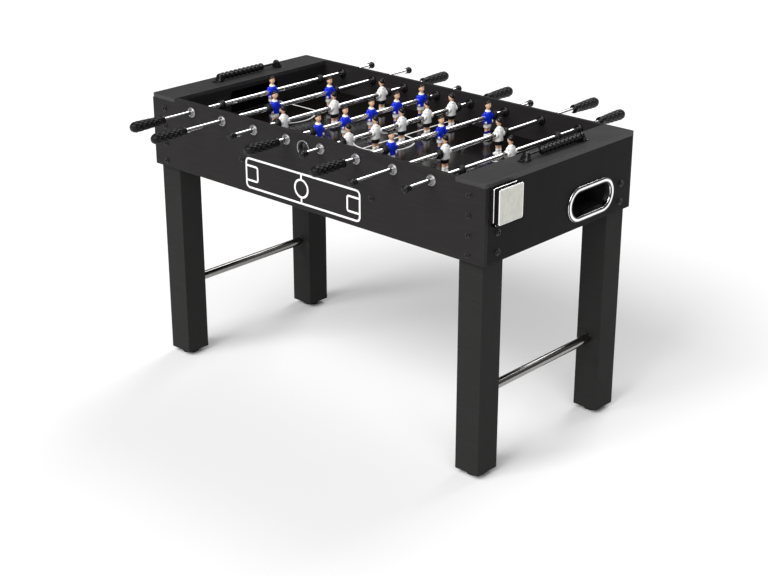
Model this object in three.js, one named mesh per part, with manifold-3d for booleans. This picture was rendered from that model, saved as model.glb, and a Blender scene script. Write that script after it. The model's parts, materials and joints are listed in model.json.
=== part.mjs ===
// Foosball table, 4 ft class: a black panel cabinet on four square legs, eight sliding and turning
// player rods, two score counters, two ball returns and a folding drink holder.
//
// Frame: millimetres, +X along the table, +Y away from the front panel, +Z up, origin on the floor
// under the middle of the cabinet.  Everything that sits at one end or on one team is built once, for
// the right end or for the front team, and its twin is the same group turned half a turn about Z.
import * as THREE from "three";
import { mergeVertices } from "three/addons/utils/BufferGeometryUtils.js";
import Module from "manifold-3d";

const wasm = await Module();
wasm.setup();

// ---- driving dimensions ------------------------------------------------------------------------
const LENGTH = 1219; // cabinet along X (48 in)
const WIDTH = 610; // cabinet along Y (24 in)
const HEIGHT = 800; // floor to the top face
const CABINET = 208; // height of the cabinet's panels
const FIT = 0.3; // gap between pieces that touch

const PANEL = 12; // board thickness of sides, ends and end tops
const GOAL_WALL = 6;
const END_TOP_WIDTH = 94.7;
const CORNER_RADIUS = 6;

const LEG = 76; // leg section
const FOOT_HEIGHT = 12.7;
const FOOT_RADIUS = 25;
const FOOT_CHAMFER = 3;
const STEM_RADIUS = 4.7;
const STEM_LENGTH = 36;
const TUBE_RADIUS = 12.5;
const TUBE_HEIGHT = 223;

const ROD_COUNT = 8;
const ROD_PITCH = 126;
const ROD_RADIUS = 6.5;
const ROD_BORE = 4.3;
const ROD_DEPTH = 26; // rod axis below the top face
const FIELD_DEPTH = 62; // playing surface below the rod axis
const FIELD = 6;
const BATTEN = { x: 241, width: 30, height: 40 };

const BEARING = { flange: 6, radius: 15, sleeve: 10.7, innerFlange: 5, innerRadius: 13.5 };
const GRIP_LENGTH = 112;
const GRIP_SOCKET = 100; // how deep the rod reaches into the grip
const CAP = { length: 22, radius: 10 };
const BUMPER = { length: 14, radius: 13, gap: 0.5 };
const MAN_HALF_WIDTH = 17;
const MAN_PIN = { radius: 1.5, clearance: 0.4, core: 3.3, coreOverrun: 4 };

const GOAL = { halfWidth: 95, height: 66, cornerRadius: 12 };
const SERVE = { radius: 19, ring: 22.5, thickness: 3, depth: 38, wall: 3 };
const RETURN = { y: 123, depth: 144, length: 196, height: 94, rim: 13, flange: 4, wall: 3 };
const TROUGH = { clearance: 3, overlap: 7, fall: 42, underField: 4 };
const SCORE = { y: 20, half: 108, barRadius: 3, barHeight: 13, beads: 10, beadPitch: 16.6, beadRadius: 11 };
const BEAD = { bore: 3.6, groove: 4, shoulder: 4.2 };
const RAIL_FOOT = { half: 13, arch: 10, upright: 10, length: 26, plate: 4 };
const HOLDER = { y: -232, width: 92, height: 98, top: 16, plate: 4, depth: 20.7, wall: 6, face: 3 };
const HINGE = { x: FIT + HOLDER.plate + 4.7, z: 6.5, pin: 2, knuckle: 4.2, ear: 4, earRadius: 5.5 };
const HINGE_WEB = { half: 2.5, top: 8 };

// One row per rod from the left: team, men, their spacing, how far each rod end stands clear of its
// bearing when the rod is centred, and how far the stored pose is slid from there along +Y.
const RODS = [
  { team: "front", men: 1, spacing: 0, reach: 96, slid: 0 },
  { team: "front", men: 2, spacing: 218, reach: 127, slid: 0 },
  { team: "back", men: 3, spacing: 196, reach: 62, slid: 0 },
  { team: "front", men: 5, spacing: 103.5, reach: 46, slid: 18 },
  { team: "back", men: 5, spacing: 103.5, reach: 50, slid: 4 },
  { team: "front", men: 3, spacing: 196, reach: 60, slid: 20 },
  { team: "back", men: 2, spacing: 218, reach: 127, slid: 0 },
  { team: "back", men: 1, spacing: 0, reach: 74, slid: 0 },
];
const GOALKEEPER_BUMPER = 195; // from a lone man to his bumpers; on other rods they are beside the end men

// ---- derived places ----------------------------------------------------------------------------
const END = LENGTH / 2; // outer face of an end
const SIDE = WIDTH / 2; // outer face of a side
const UNDER_TOP = HEIGHT - PANEL; // underside of the end tops
const CABINET_BOTTOM = HEIGHT - CABINET;
const AXIS = HEIGHT - ROD_DEPTH;
const FIELD_TOP = AXIS - FIELD_DEPTH;
const GOAL_FACE = END - END_TOP_WIDTH; // wall of the playing area behind a goal line
const LEG_X = END - PANEL - FIT - LEG / 2;
const LEG_Y = SIDE - PANEL - FIT - LEG / 2;
const BEARING_FACE = SIDE + BEARING.flange;

// ---- materials ---------------------------------------------------------------------------------
const finish = (color, roughness, metalness = 0) =>
  new THREE.MeshStandardMaterial({ color, roughness, metalness });
const BLACK_BOARD = finish(0x2a2828, 0.55);
const LEG_BOARD = finish(0x343333, 0.6);
const FIELD_BOARD = finish(0x121010, 0.25);
const BLACK_PLASTIC = finish(0x101010, 0.5);
const RUBBER = finish(0x0c0c0c, 0.75);
const GREY_PLASTIC = finish(0xb9bbbd, 0.35);
const CHROME = finish(0xd8dadc, 0.15, 1);
const PEARL = finish(0xcfcfc4, 0.4, 0.3);
const TEAM = { front: finish(0x1b33d6, 0.45), back: finish(0xf0f0ee, 0.45) };

// ---- joining and cutting -----------------------------------------------------------------------
function solid(geometry) {
  const bare = geometry.clone();
  bare.deleteAttribute("normal");
  bare.deleteAttribute("uv");
  const merged = mergeVertices(bare, 1e-4);
  return new wasm.Manifold(
    new wasm.Mesh({
      numProp: 3,
      vertProperties: new Float32Array(merged.attributes.position.array),
      triVerts: new Uint32Array(merged.index.array),
    }),
  );
}

function surface(body) {
  const mesh = body.getMesh();
  const geometry = new THREE.BufferGeometry();
  geometry.setAttribute("position", new THREE.BufferAttribute(new Float32Array(mesh.vertProperties), 3));
  geometry.setIndex(new THREE.BufferAttribute(new Uint32Array(mesh.triVerts), 1));
  geometry.computeVertexNormals();
  return geometry;
}

const join = (...pieces) => surface(pieces.map(solid).reduce((a, b) => a.add(b)));
const cut = (base, ...tools) => surface(tools.map(solid).reduce((a, b) => a.subtract(b), solid(base)));

// ---- basic shapes ------------------------------------------------------------------------------
function block([x0, x1], [y0, y1], [z0, z1]) {
  const geometry = new THREE.BoxGeometry(x1 - x0, y1 - y0, z1 - z0);
  return geometry.translate((x0 + x1) / 2, (y0 + y1) / 2, (z0 + z1) / 2);
}

const cylinderY = (radius, [y0, y1], sides = 16) =>
  new THREE.CylinderGeometry(radius, radius, y1 - y0, sides).translate(0, (y0 + y1) / 2, 0);

const cylinderZ = (radius, [z0, z1], sides = 16) =>
  new THREE.CylinderGeometry(radius, radius, z1 - z0, sides)
    .rotateX(Math.PI / 2)
    .translate(0, 0, (z0 + z1) / 2);

// The radius at the corners of a many-sided bore whose flats clear a round of the given radius.
const around = (radius, sides) => radius / Math.cos(Math.PI / sides);

// A closed turned shape about Y from [radius, y] pairs that start and end on the axis or close up.
const turned = (profile, sides = 16) =>
  new THREE.LatheGeometry(profile.map(([r, y]) => new THREE.Vector2(r, y)), sides);

// A slab along X whose outline is drawn in Y and Z.
function slabX(shape, [x0, x1], curveSegments = 8) {
  const geometry = new THREE.ExtrudeGeometry(shape, { depth: x1 - x0, bevelEnabled: false, curveSegments });
  return geometry.rotateX(Math.PI / 2).rotateZ(Math.PI / 2).translate(x0, 0, 0);
}

// A long hole's outline: a rectangle with half-round ends.
function stadium(y, z, length, height) {
  const r = height / 2;
  const run = length / 2 - r;
  const shape = new THREE.Shape();
  shape.moveTo(y - run, z - r);
  shape.lineTo(y + run, z - r);
  shape.absarc(y + run, z, r, -Math.PI / 2, Math.PI / 2, false);
  shape.lineTo(y - run, z + r);
  shape.absarc(y - run, z, r, Math.PI / 2, 1.5 * Math.PI, false);
  return shape;
}

function piece(name, geometry, material) {
  const mesh = new THREE.Mesh(geometry, material);
  mesh.name = name;
  return mesh;
}

const rodX = (index) => (index - (ROD_COUNT - 1) / 2) * ROD_PITCH;

// ---- cabinet -----------------------------------------------------------------------------------
// A side panel runs the full length, is lower under the end tops, and is bored for the rods.
function sidePanel(serveHole) {
  const y = [-SIDE, -SIDE + PANEL];
  const through = [-SIDE - PANEL, -SIDE + 2 * PANEL];
  const notch = (x0, x1) => block([x0, x1], through, [UNDER_TOP - FIT, HEIGHT + PANEL]);
  const seat = around(BEARING.sleeve + FIT, 12);
  const holes = RODS.map((_, i) => cylinderY(seat, through, 12).translate(rodX(i), 0, AXIS));
  if (serveHole) holes.push(cylinderY(SERVE.radius, through, 20).translate(0, 0, HEIGHT - SERVE.depth));
  return cut(
    block([-END, END], y, [CABINET_BOTTOM, HEIGHT]),
    notch(-END - PANEL, -GOAL_FACE + FIT),
    notch(GOAL_FACE - FIT, END + PANEL),
    ...holes,
  );
}

function playfield() {
  const half = GOAL_FACE - FIT;
  const inner = SIDE - PANEL - FIT;
  const batten = (x) =>
    block(
      [x - BATTEN.width / 2, x + BATTEN.width / 2],
      [-inner, inner],
      [FIELD_TOP - FIELD - BATTEN.height, FIELD_TOP - FIELD / 2],
    );
  return join(
    block([-half, half], [-inner, inner], [FIELD_TOP - FIELD, FIELD_TOP]),
    batten(-BATTEN.x),
    batten(BATTEN.x),
  );
}

function endPanel() {
  const inner = SIDE - PANEL - FIT;
  const margin = 1.5 * RETURN.rim;
  const neck = stadium(RETURN.y, HEIGHT - RETURN.depth, RETURN.length - margin, RETURN.height - margin);
  return cut(
    block([END - PANEL, END], [-inner, inner], [CABINET_BOTTOM, UNDER_TOP - FIT]),
    slabX(neck, [END - 2 * PANEL, END + PANEL]),
  );
}

// The end top covers the panels' edges and has its two outer corners rounded.
function endTop() {
  const r = CORNER_RADIUS;
  const shape = new THREE.Shape();
  shape.moveTo(GOAL_FACE, -SIDE);
  shape.lineTo(END - r, -SIDE);
  shape.absarc(END - r, -SIDE + r, r, -Math.PI / 2, 0, false);
  shape.lineTo(END, SIDE - r);
  shape.absarc(END - r, SIDE - r, r, 0, Math.PI / 2, false);
  shape.lineTo(GOAL_FACE, SIDE);
  const board = new THREE.ExtrudeGeometry(shape, { depth: PANEL, bevelEnabled: false, curveSegments: 4 });
  return board.translate(0, 0, UNDER_TOP);
}

function goalWall() {
  const inner = SIDE - PANEL - FIT;
  const mouth = new THREE.Shape();
  const r = GOAL.cornerRadius;
  const top = FIELD_TOP + GOAL.height;
  mouth.moveTo(-GOAL.halfWidth, FIELD_TOP - FIT);
  mouth.lineTo(GOAL.halfWidth, FIELD_TOP - FIT);
  mouth.lineTo(GOAL.halfWidth, top - r);
  mouth.absarc(GOAL.halfWidth - r, top - r, r, 0, Math.PI / 2, false);
  mouth.lineTo(-GOAL.halfWidth + r, top);
  mouth.absarc(-GOAL.halfWidth + r, top - r, r, Math.PI / 2, Math.PI, false);
  return cut(
    block([GOAL_FACE, GOAL_FACE + GOAL_WALL - FIT], [-inner, inner], [CABINET_BOTTOM, UNDER_TOP - FIT]),
    slabX(mouth, [GOAL_FACE - GOAL_WALL, GOAL_FACE + 2 * GOAL_WALL], 4),
  );
}

// The ball return is one moulding: an open trough behind the goal whose floor falls towards the long
// mouth in the end panel, and a rim that lies on the outside of that panel.
function ballReturn() {
  const x0 = GOAL_FACE + GOAL_WALL + TROUGH.clearance;
  const x1 = END - PANEL - FIT;
  const w = RETURN.wall;
  const z = HEIGHT - RETURN.depth;
  const mouthHeight = RETURN.height - 2 * RETURN.rim;
  const mouthLength = RETURN.length - 2 * RETURN.rim;
  const y0 = -GOAL.halfWidth - TROUGH.overlap;
  const y1 = LEG_Y - LEG / 2 - TROUGH.clearance;
  const floor = z - mouthHeight / 2 - w;
  const high = floor + TROUGH.fall;
  const top = FIELD_TOP - FIELD - TROUGH.underField;
  const levelFrom = RETURN.y - mouthLength / 2;

  const inside = new THREE.Shape();
  inside.moveTo(y0 + w, HEIGHT);
  inside.lineTo(y0 + w, high);
  inside.lineTo(levelFrom, floor);
  inside.lineTo(y1 - w, floor);
  inside.lineTo(y1 - w, HEIGHT);

  const outside = new THREE.Shape();
  outside.moveTo(y0, top);
  outside.lineTo(y0, high - w);
  outside.lineTo(levelFrom, floor - w);
  outside.lineTo(y1, floor - w);
  outside.lineTo(y1, top);

  const neck = stadium(RETURN.y, z, mouthLength + 2 * w, mouthHeight + 2 * w);
  const rim = stadium(RETURN.y, z, RETURN.length, RETURN.height);
  const mouth = stadium(RETURN.y, z, mouthLength, mouthHeight);
  return cut(
    join(
      slabX(outside, [x0, x1], 1),
      slabX(neck, [x1 - w, END + FIT + RETURN.flange], 6),
      slabX(rim, [END + FIT, END + FIT + RETURN.flange], 6),
    ),
    slabX(inside, [x0 + w, x1 - w], 1),
    slabX(mouth, [x1 - 2 * w, END + 3 * RETURN.flange], 6),
  );
}

// The serve ring lines the hole in the front panel and stands a little proud of it.
function serveRing() {
  const bore = SERVE.radius - SERVE.wall;
  const face = -SIDE - FIT - SERVE.thickness;
  const profile = [
    [bore, face],
    [SERVE.ring, face],
    [SERVE.ring, -SIDE - FIT],
    [SERVE.radius - FIT, -SIDE - FIT],
    [SERVE.radius - FIT, -SIDE + PANEL],
    [bore, -SIDE + PANEL],
    [bore, face],
  ];
  return turned(profile, 20).translate(0, 0, HEIGHT - SERVE.depth);
}

// ---- legs --------------------------------------------------------------------------------------
const leg = () =>
  cut(
    block([-LEG / 2, LEG / 2], [-LEG / 2, LEG / 2], [FOOT_HEIGHT + FIT, UNDER_TOP - 2 * FIT]),
    cylinderZ(STEM_RADIUS + FIT, [0, FOOT_HEIGHT + STEM_LENGTH + 4], 12),
  );

const leveller = () =>
  new THREE.LatheGeometry(
    [
      [0, 0],
      [FOOT_RADIUS, 0],
      [FOOT_RADIUS, FOOT_HEIGHT - FOOT_CHAMFER],
      [FOOT_RADIUS - FOOT_CHAMFER, FOOT_HEIGHT],
      [STEM_RADIUS, FOOT_HEIGHT],
      [STEM_RADIUS, FOOT_HEIGHT + STEM_LENGTH],
      [0, FOOT_HEIGHT + STEM_LENGTH],
    ].map(([r, z]) => new THREE.Vector2(r, z)),
    12,
  ).rotateX(Math.PI / 2);

const legTube = () => cylinderY(TUBE_RADIUS, [-LEG_Y + LEG / 2 + FIT, LEG_Y - LEG / 2 - FIT], 16);

// ---- score counters ----------------------------------------------------------------------------
// A round bar on two arched feet; local frame with the board's face at z = 0.
function scoreRail() {
  const { half, arch, upright, length, plate } = RAIL_FOOT;
  const foot = (side) => {
    const outline = new THREE.Shape();
    outline.moveTo(-half, 0);
    outline.lineTo(half, 0);
    outline.lineTo(arch, SCORE.barHeight);
    outline.absarc(0, SCORE.barHeight, arch, 0, Math.PI, false);
    const post = new THREE.ExtrudeGeometry(outline, { depth: upright, bevelEnabled: false, curveSegments: 4 })
      .rotateX(Math.PI / 2)
      .translate(0, side > 0 ? SCORE.half + upright : -SCORE.half, 0);
    const y = [SCORE.half, SCORE.half + length].map((v) => v * side).sort((a, b) => a - b);
    return join(post, block([-half, half], y, [0, plate]));
  };
  const reach = SCORE.half + upright / 2;
  const bar = cylinderY(SCORE.barRadius, [-reach, reach], 10).translate(0, 0, SCORE.barHeight);
  return join(foot(-1), foot(1), bar).translate(0, 0, FIT);
}

// The ten counters of one bar, pushed together.
function scoreBeads() {
  const length = SCORE.beads * SCORE.beadPitch;
  const neck = SCORE.beadRadius - BEAD.groove;
  const profile = [[BEAD.bore, 0]];
  for (let i = 0; i < SCORE.beads; i++) {
    const start = i * SCORE.beadPitch + BEAD.shoulder;
    const end = (i + 1) * SCORE.beadPitch - BEAD.shoulder;
    profile.push([neck, i * SCORE.beadPitch], [SCORE.beadRadius, start], [SCORE.beadRadius, end]);
  }
  profile.push([neck, length], [BEAD.bore, length], [BEAD.bore, 0]);
  return turned(profile, 8).translate(0, 0, SCORE.barHeight + FIT);
}

// ---- drink holder ------------------------------------------------------------------------------
// Local frame: x from the end panel's face, y from the middle of the holder, z from the hinge axis.
function holderBracket() {
  const half = HOLDER.width / 2;
  const plateTop = HOLDER.height - HINGE.z;
  const plate = block([FIT, FIT + HOLDER.plate], [-half, half], [-HINGE.z, plateTop]);
  const r = HINGE.earRadius;
  const ear = (y0) =>
    join(
      block([FIT + 1, HINGE.x], [y0, y0 + HINGE.ear], [-r, r]),
      cylinderY(r, [y0, y0 + HINGE.ear], 12).translate(HINGE.x, 0, 0),
    );
  const pin = cylinderY(HINGE.pin, [-half + 1, half - 1], 10).translate(HINGE.x, 0, 0);
  return join(plate, ear(-half), ear(half - HINGE.ear), pin);
}

// The arm is a shallow tray.  Folded, its back closes the holder; let down, the tray faces up.
function holderArm() {
  const half = HOLDER.width / 2;
  const inner = half - HINGE.ear - FIT;
  const x = [FIT + HOLDER.plate + FIT, HOLDER.depth];
  const z = [HINGE_WEB.top, HOLDER.height - HINGE.z];
  const wall = HOLDER.wall;
  const tray = cut(
    block(x, [-half, half], z),
    block([0, HOLDER.depth - HOLDER.face], [-half + wall, half - wall], [z[0] + wall, z[1] - wall]),
  );
  const knuckle = join(
    cylinderY(HINGE.knuckle, [-inner, inner], 12).translate(HINGE.x, 0, 0),
    block([HINGE.x - HINGE_WEB.half, HINGE.x + HINGE_WEB.half], [-inner, inner], [1, z[0] + 1]),
  );
  return cut(join(tray, knuckle), cylinderY(HINGE.pin + FIT, [-half, half], 10).translate(HINGE.x, 0, 0));
}

// ---- player rods -------------------------------------------------------------------------------
// Local frame of a rod: along Y with the grip at -Y, men facing +X, z = 0 on the rod's axis.
const menPlaces = ({ men, spacing }) => Array.from({ length: men }, (_, i) => (i - (men - 1) / 2) * spacing);

function bumperPlace(rod) {
  if (rod.men === 1) return GOALKEEPER_BUMPER;
  return ((rod.men - 1) / 2) * rod.spacing + MAN_HALF_WIDTH + BUMPER.gap + BUMPER.length / 2;
}

// A steel tube with its two rubber bumpers and the plastic cap on its free end.
function shaft(rod) {
  const gripEnd = -(BEARING_FACE + rod.reach + GRIP_SOCKET);
  const capStart = BEARING_FACE + rod.reach;
  const bumper = (y) => cylinderY(BUMPER.radius, [y - BUMPER.length / 2, y + BUMPER.length / 2], 12);
  const outer = join(
    cylinderY(ROD_RADIUS, [gripEnd, capStart + 1], 12),
    cylinderY(CAP.radius, [capStart, capStart + CAP.length], 12),
    bumper(-bumperPlace(rod)),
    bumper(bumperPlace(rod)),
  );
  const pinHole = MAN_PIN.radius + MAN_PIN.clearance;
  const pinHoles = menPlaces(rod).map((y) => cylinderZ(pinHole, [0, 2 * ROD_RADIUS], 6).translate(0, y, 0));
  return cut(outer, cylinderY(ROD_BORE, [gripEnd - 1, capStart], 8), ...pinHoles);
}

// One man as a stack of eight-sided sections: height, half depth, half width, shift forwards.
const MAN_SECTIONS = [
  [-56, 10, 11, 3],
  [-47, 9, 10, 3],
  [-40, 6, 8, 0],
  [-22, 8, 11, 0],
  [-7, 10.5, 15, 0],
  [8, 11, MAN_HALF_WIDTH, 0],
  [20, 9, 15, 0],
  [25, 5, 5, 0],
  [32, 9.5, 8.5, 0],
  [45, 6, 6, 0],
];

function man() {
  const corners = [[1, 0.5], [0.5, 1], [-0.5, 1], [-1, 0.5], [-1, -0.5], [-0.5, -1], [0.5, -1], [1, -0.5]];
  const sides = corners.length;
  const points = MAN_SECTIONS.flatMap(([z, depth, width, forward]) =>
    corners.flatMap(([x, y]) => [x * depth + forward, y * width, z]),
  );
  const faces = [];
  for (let ring = 0; ring + 1 < MAN_SECTIONS.length; ring++) {
    for (let k = 0; k < sides; k++) {
      const a = ring * sides + k;
      const b = ring * sides + ((k + 1) % sides);
      faces.push(a, b, b + sides, a, b + sides, a + sides);
    }
  }
  const last = (MAN_SECTIONS.length - 1) * sides;
  for (let k = 1; k + 1 < sides; k++) {
    faces.push(0, k + 1, k, last, last + k, last + k + 1);
  }
  const geometry = new THREE.BufferGeometry();
  geometry.setAttribute("position", new THREE.Float32BufferAttribute(points, 3));
  return geometry.setIndex(faces);
}

// All men of one rod.  Each is bored for the tube, and a pin through the tube's wall ties it to a thin
// core inside the tube, so that the men of one rod are one body.
function men(rod) {
  const places = menPlaces(rod);
  const bore = cylinderY(around(ROD_RADIUS + FIT, 8), [-2 * MAN_HALF_WIDTH, 2 * MAN_HALF_WIDTH], 8);
  const bored = places.map((y) => cut(man(), bore).translate(0, y, 0));
  const pins = places.map((y) => cylinderZ(MAN_PIN.radius, [0, ROD_RADIUS + 3], 6).translate(0, y, 0));
  const coreEnd = places.at(-1) + MAN_PIN.coreOverrun;
  const core = cylinderY(MAN_PIN.core, [-coreEnd, coreEnd], 6);
  return join(...bored, ...pins, core);
}

// A tapered grip with a collar at the rod side and a domed outer end.
function grip(rod) {
  const start = BEARING_FACE + rod.reach;
  const socket = ROD_RADIUS + FIT;
  return turned(
    [
      [socket, 0],
      [12.5, 0],
      [12.5, 9],
      [11.3, 13],
      [14, 45],
      [15.5, 88],
      [15, 103],
      [9, 110.5],
      [0, GRIP_LENGTH],
      [0, GRIP_SOCKET + 2],
      [socket, GRIP_SOCKET + 2],
      [socket, 0],
    ],
    12,
  )
    .rotateX(Math.PI)
    .translate(0, -start, 0);
}

// The front bearing: a flange on each face of the panel and the sleeve that joins them.
function bearing() {
  const bore = ROD_RADIUS + FIT;
  const outerFace = -SIDE - FIT;
  const innerFace = -SIDE + PANEL + FIT;
  return turned(
    [
      [bore, -BEARING_FACE],
      [BEARING.radius, -BEARING_FACE],
      [BEARING.radius, outerFace],
      [BEARING.sleeve, outerFace],
      [BEARING.sleeve, innerFace],
      [BEARING.innerRadius, innerFace],
      [BEARING.innerRadius, -SIDE + PANEL + BEARING.innerFlange],
      [bore, -SIDE + PANEL + BEARING.innerFlange],
      [bore, -BEARING_FACE],
    ],
    12,
  );
}

function rodAssembly(rod, index) {
  const number = index + 1;
  const moving = new THREE.Group();
  moving.add(
    piece(`rod_${number}_shaft`, shaft(rod), CHROME),
    piece(`rod_${number}_men`, men(rod), TEAM[rod.team]),
    piece(`rod_${number}_grip`, grip(rod), RUBBER),
  );
  moving.rotation.z = rod.team === "back" ? Math.PI : 0;
  moving.position.y = rod.slid;
  const assembly = new THREE.Group();
  assembly.add(moving, piece(`rod_${number}_bearing`, bearing(), GREY_PLASTIC));
  assembly.position.set(rodX(index), 0, AXIS);
  return assembly;
}

// ---- assembly ----------------------------------------------------------------------------------
function cabinetEnd(name) {
  const end = new THREE.Group();
  end.add(
    piece(`end_panel_${name}`, endPanel(), BLACK_BOARD),
    piece(`end_top_${name}`, endTop(), BLACK_BOARD),
    piece(`goal_wall_${name}`, goalWall(), BLACK_BOARD),
    piece(`ball_return_${name}`, ballReturn(), BLACK_PLASTIC),
  );
  const tube = piece(`leg_tube_${name}`, legTube(), CHROME);
  tube.position.set(LEG_X, 0, TUBE_HEIGHT);
  const counter = new THREE.Group();
  const beads = piece(`score_beads_${name}`, scoreBeads(), BLACK_PLASTIC);
  beads.position.y = SCORE.half - SCORE.beads * SCORE.beadPitch - FIT;
  counter.add(piece(`score_rail_${name}`, scoreRail(), BLACK_PLASTIC), beads);
  counter.position.set(END - END_TOP_WIDTH / 2, name === "left" ? -SCORE.y : SCORE.y, HEIGHT);
  end.add(tube, counter);
  end.rotation.z = name === "left" ? Math.PI : 0;
  return end;
}

function drinkHolder() {
  const holder = new THREE.Group();
  holder.add(
    piece("drink_holder_bracket", holderBracket(), BLACK_PLASTIC),
    piece("drink_holder_tray", holderArm(), PEARL),
  );
  holder.position.set(END, HOLDER.y, HEIGHT - HOLDER.top - HOLDER.height + HINGE.z);
  return holder;
}

const table = new THREE.Group();

const backPanel = piece("side_panel_back", sidePanel(false), BLACK_BOARD);
backPanel.rotation.z = Math.PI;
table.add(
  piece("side_panel_front", sidePanel(true), BLACK_BOARD),
  backPanel,
  piece("playfield", playfield(), FIELD_BOARD),
  piece("serve_ring", serveRing(), GREY_PLASTIC),
  cabinetEnd("left"),
  cabinetEnd("right"),
  drinkHolder(),
);

for (const [side, y] of [["front", -LEG_Y], ["back", LEG_Y]]) {
  for (const [end, x] of [["left", -LEG_X], ["right", LEG_X]]) {
    const corner = new THREE.Group();
    corner.add(
      piece(`leg_${side}_${end}`, leg(), LEG_BOARD),
      piece(`leveller_${side}_${end}`, leveller(), BLACK_PLASTIC),
    );
    corner.position.set(x, y, 0);
    table.add(corner);
  }
}

RODS.forEach((rod, index) => table.add(rodAssembly(rod, index)));

export default table;
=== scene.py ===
"""Looks of a foosball table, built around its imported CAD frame.

Everything below works in millimetres in the frame of the CAD model: +X along the table towards the
end with the drink holder, +Y from the front panel to the back panel, +Z up, origin on the floor.
Meshes are turned into metres when they are made.  Driving places come from the boxes of the CAD nodes.
"""

import json
import logging
import math
from dataclasses import dataclass, replace
from enum import Enum, IntEnum
from typing import Callable, Sequence

import bmesh
import bpy
import numpy as np
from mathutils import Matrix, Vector

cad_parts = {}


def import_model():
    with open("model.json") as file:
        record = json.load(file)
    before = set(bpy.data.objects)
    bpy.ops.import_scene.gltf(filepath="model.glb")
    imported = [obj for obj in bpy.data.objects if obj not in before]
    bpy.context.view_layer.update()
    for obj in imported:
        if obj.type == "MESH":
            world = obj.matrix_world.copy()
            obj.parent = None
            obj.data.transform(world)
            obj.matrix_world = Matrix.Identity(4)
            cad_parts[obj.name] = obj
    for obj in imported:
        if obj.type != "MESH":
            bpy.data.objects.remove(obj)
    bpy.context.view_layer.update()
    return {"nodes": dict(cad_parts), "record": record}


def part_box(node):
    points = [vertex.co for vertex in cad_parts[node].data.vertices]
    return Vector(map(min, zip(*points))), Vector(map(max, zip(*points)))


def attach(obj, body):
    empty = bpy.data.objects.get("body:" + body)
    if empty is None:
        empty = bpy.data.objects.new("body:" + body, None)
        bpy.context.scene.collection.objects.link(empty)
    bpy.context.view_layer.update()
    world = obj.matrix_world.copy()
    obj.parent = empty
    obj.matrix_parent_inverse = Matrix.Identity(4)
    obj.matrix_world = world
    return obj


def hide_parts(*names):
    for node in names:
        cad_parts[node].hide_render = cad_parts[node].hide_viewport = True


LOG = logging.getLogger("foosball_table")
MM = 0.001
TURN = 2 * math.pi
Array = np.ndarray
Colour = tuple[float, float, float]
Point = tuple[float, float, float]


# ---- surfaces ------------------------------------------------------------------------------------
class Axis(Enum):
    """A direction to build along, as the two directions across it and itself, right-handed."""

    X = ((0, 1, 0), (0, 0, 1), (1, 0, 0))
    MINUS_X = ((0, 0, 1), (0, 1, 0), (-1, 0, 0))
    Y = ((0, 0, 1), (1, 0, 0), (0, 1, 0))
    MINUS_Y = ((1, 0, 0), (0, 0, 1), (0, -1, 0))
    Z = ((1, 0, 0), (0, 1, 0), (0, 0, 1))

    def place(self, across: Array, up: Array, along: Array) -> Array:
        """Points from their distances in the two directions across the axis and along it."""
        one, two, three = np.array(self.value, float)
        return across[..., None] * one + up[..., None] * two + along[..., None] * three


@dataclass
class Surface:
    """Points in millimetres, the quads between them, and the number of a finish for each quad."""

    points: Array
    quads: Array
    coats: Array

    @classmethod
    def grid(cls, points: Array, coats: int | Array = 0, ring: bool = False) -> "Surface":
        """Covers a grid of points with quads; the last column meets the first.

        Args:
            points: rows by columns by 3.
            coats: one finish number, one for each row of quads, or one for each quad.
            ring: whether the last row meets the first too, as on a ring.

        Returns:
            The surface, whose faces look outwards where columns run round the row direction.
        """
        rows, columns = points.shape[:2]
        spans = rows if ring else rows - 1
        row, column = np.meshgrid(np.arange(spans), np.arange(columns), indexing="ij")
        beside = (column + 1) % columns
        above = (row + 1) % rows
        corners = (row * columns + column, row * columns + beside)
        corners += (above * columns + beside, above * columns + column)
        painted = np.asarray(coats)
        if painted.ndim == 1:
            painted = painted[:, None]
        return cls(
            points.reshape(-1, 3),
            np.stack(corners, -1).reshape(-1, 4),
            np.broadcast_to(painted, (spans, columns)).reshape(-1).astype(int),
        )

    @classmethod
    def joined(cls, parts: Sequence["Surface"]) -> "Surface":
        """Several surfaces as one, each keeping its own points."""
        starts = np.cumsum([0] + [len(p.points) for p in parts[:-1]])
        return cls(
            np.concatenate([p.points for p in parts]),
            np.concatenate([p.quads + start for p, start in zip(parts, starts)]),
            np.concatenate([p.coats for p in parts]),
        )

    def moved(self, x: float = 0, y: float = 0, z: float = 0) -> "Surface":
        """The surface shifted by x, y and z."""
        return Surface(self.points + np.array([x, y, z]), self.quads, self.coats)

    def half_turned(self) -> "Surface":
        """The surface turned half a turn about the vertical."""
        return Surface(self.points * np.array([-1, -1, 1]), self.quads, self.coats)

    def painted(self, coat: int) -> "Surface":
        """The surface with every face in one finish."""
        return Surface(self.points, self.quads, np.full(len(self.quads), coat))


def through(rows: Sequence[Sequence[float]], steps: int) -> Array:
    """A smooth curve through the given rows.

    Each span is a Catmull-Rom cubic: it leaves a row in the direction from the row before it to the
    row after it, and the two end rows are repeated.

    Args:
        rows: the values to pass through, one row for each knot.
        steps: how many pieces each span is cut into.

    Returns:
        The rows of the curve, knots included.
    """
    knots = np.array(rows, float)
    padded = np.concatenate([knots[:1], knots, knots[-1:]])
    before, start, end, after = (padded[i : len(padded) - 3 + i, None] for i in range(4))
    t = (np.arange(steps) / steps)[None, :, None]
    curve = start + 0.5 * t * (
        (end - before)
        + t * ((2 * before - 5 * start + 4 * end - after) + t * (3 * (start - end) + after - before))
    )
    return np.concatenate([curve.reshape(-1, knots.shape[1]), knots[-1:]])


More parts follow.
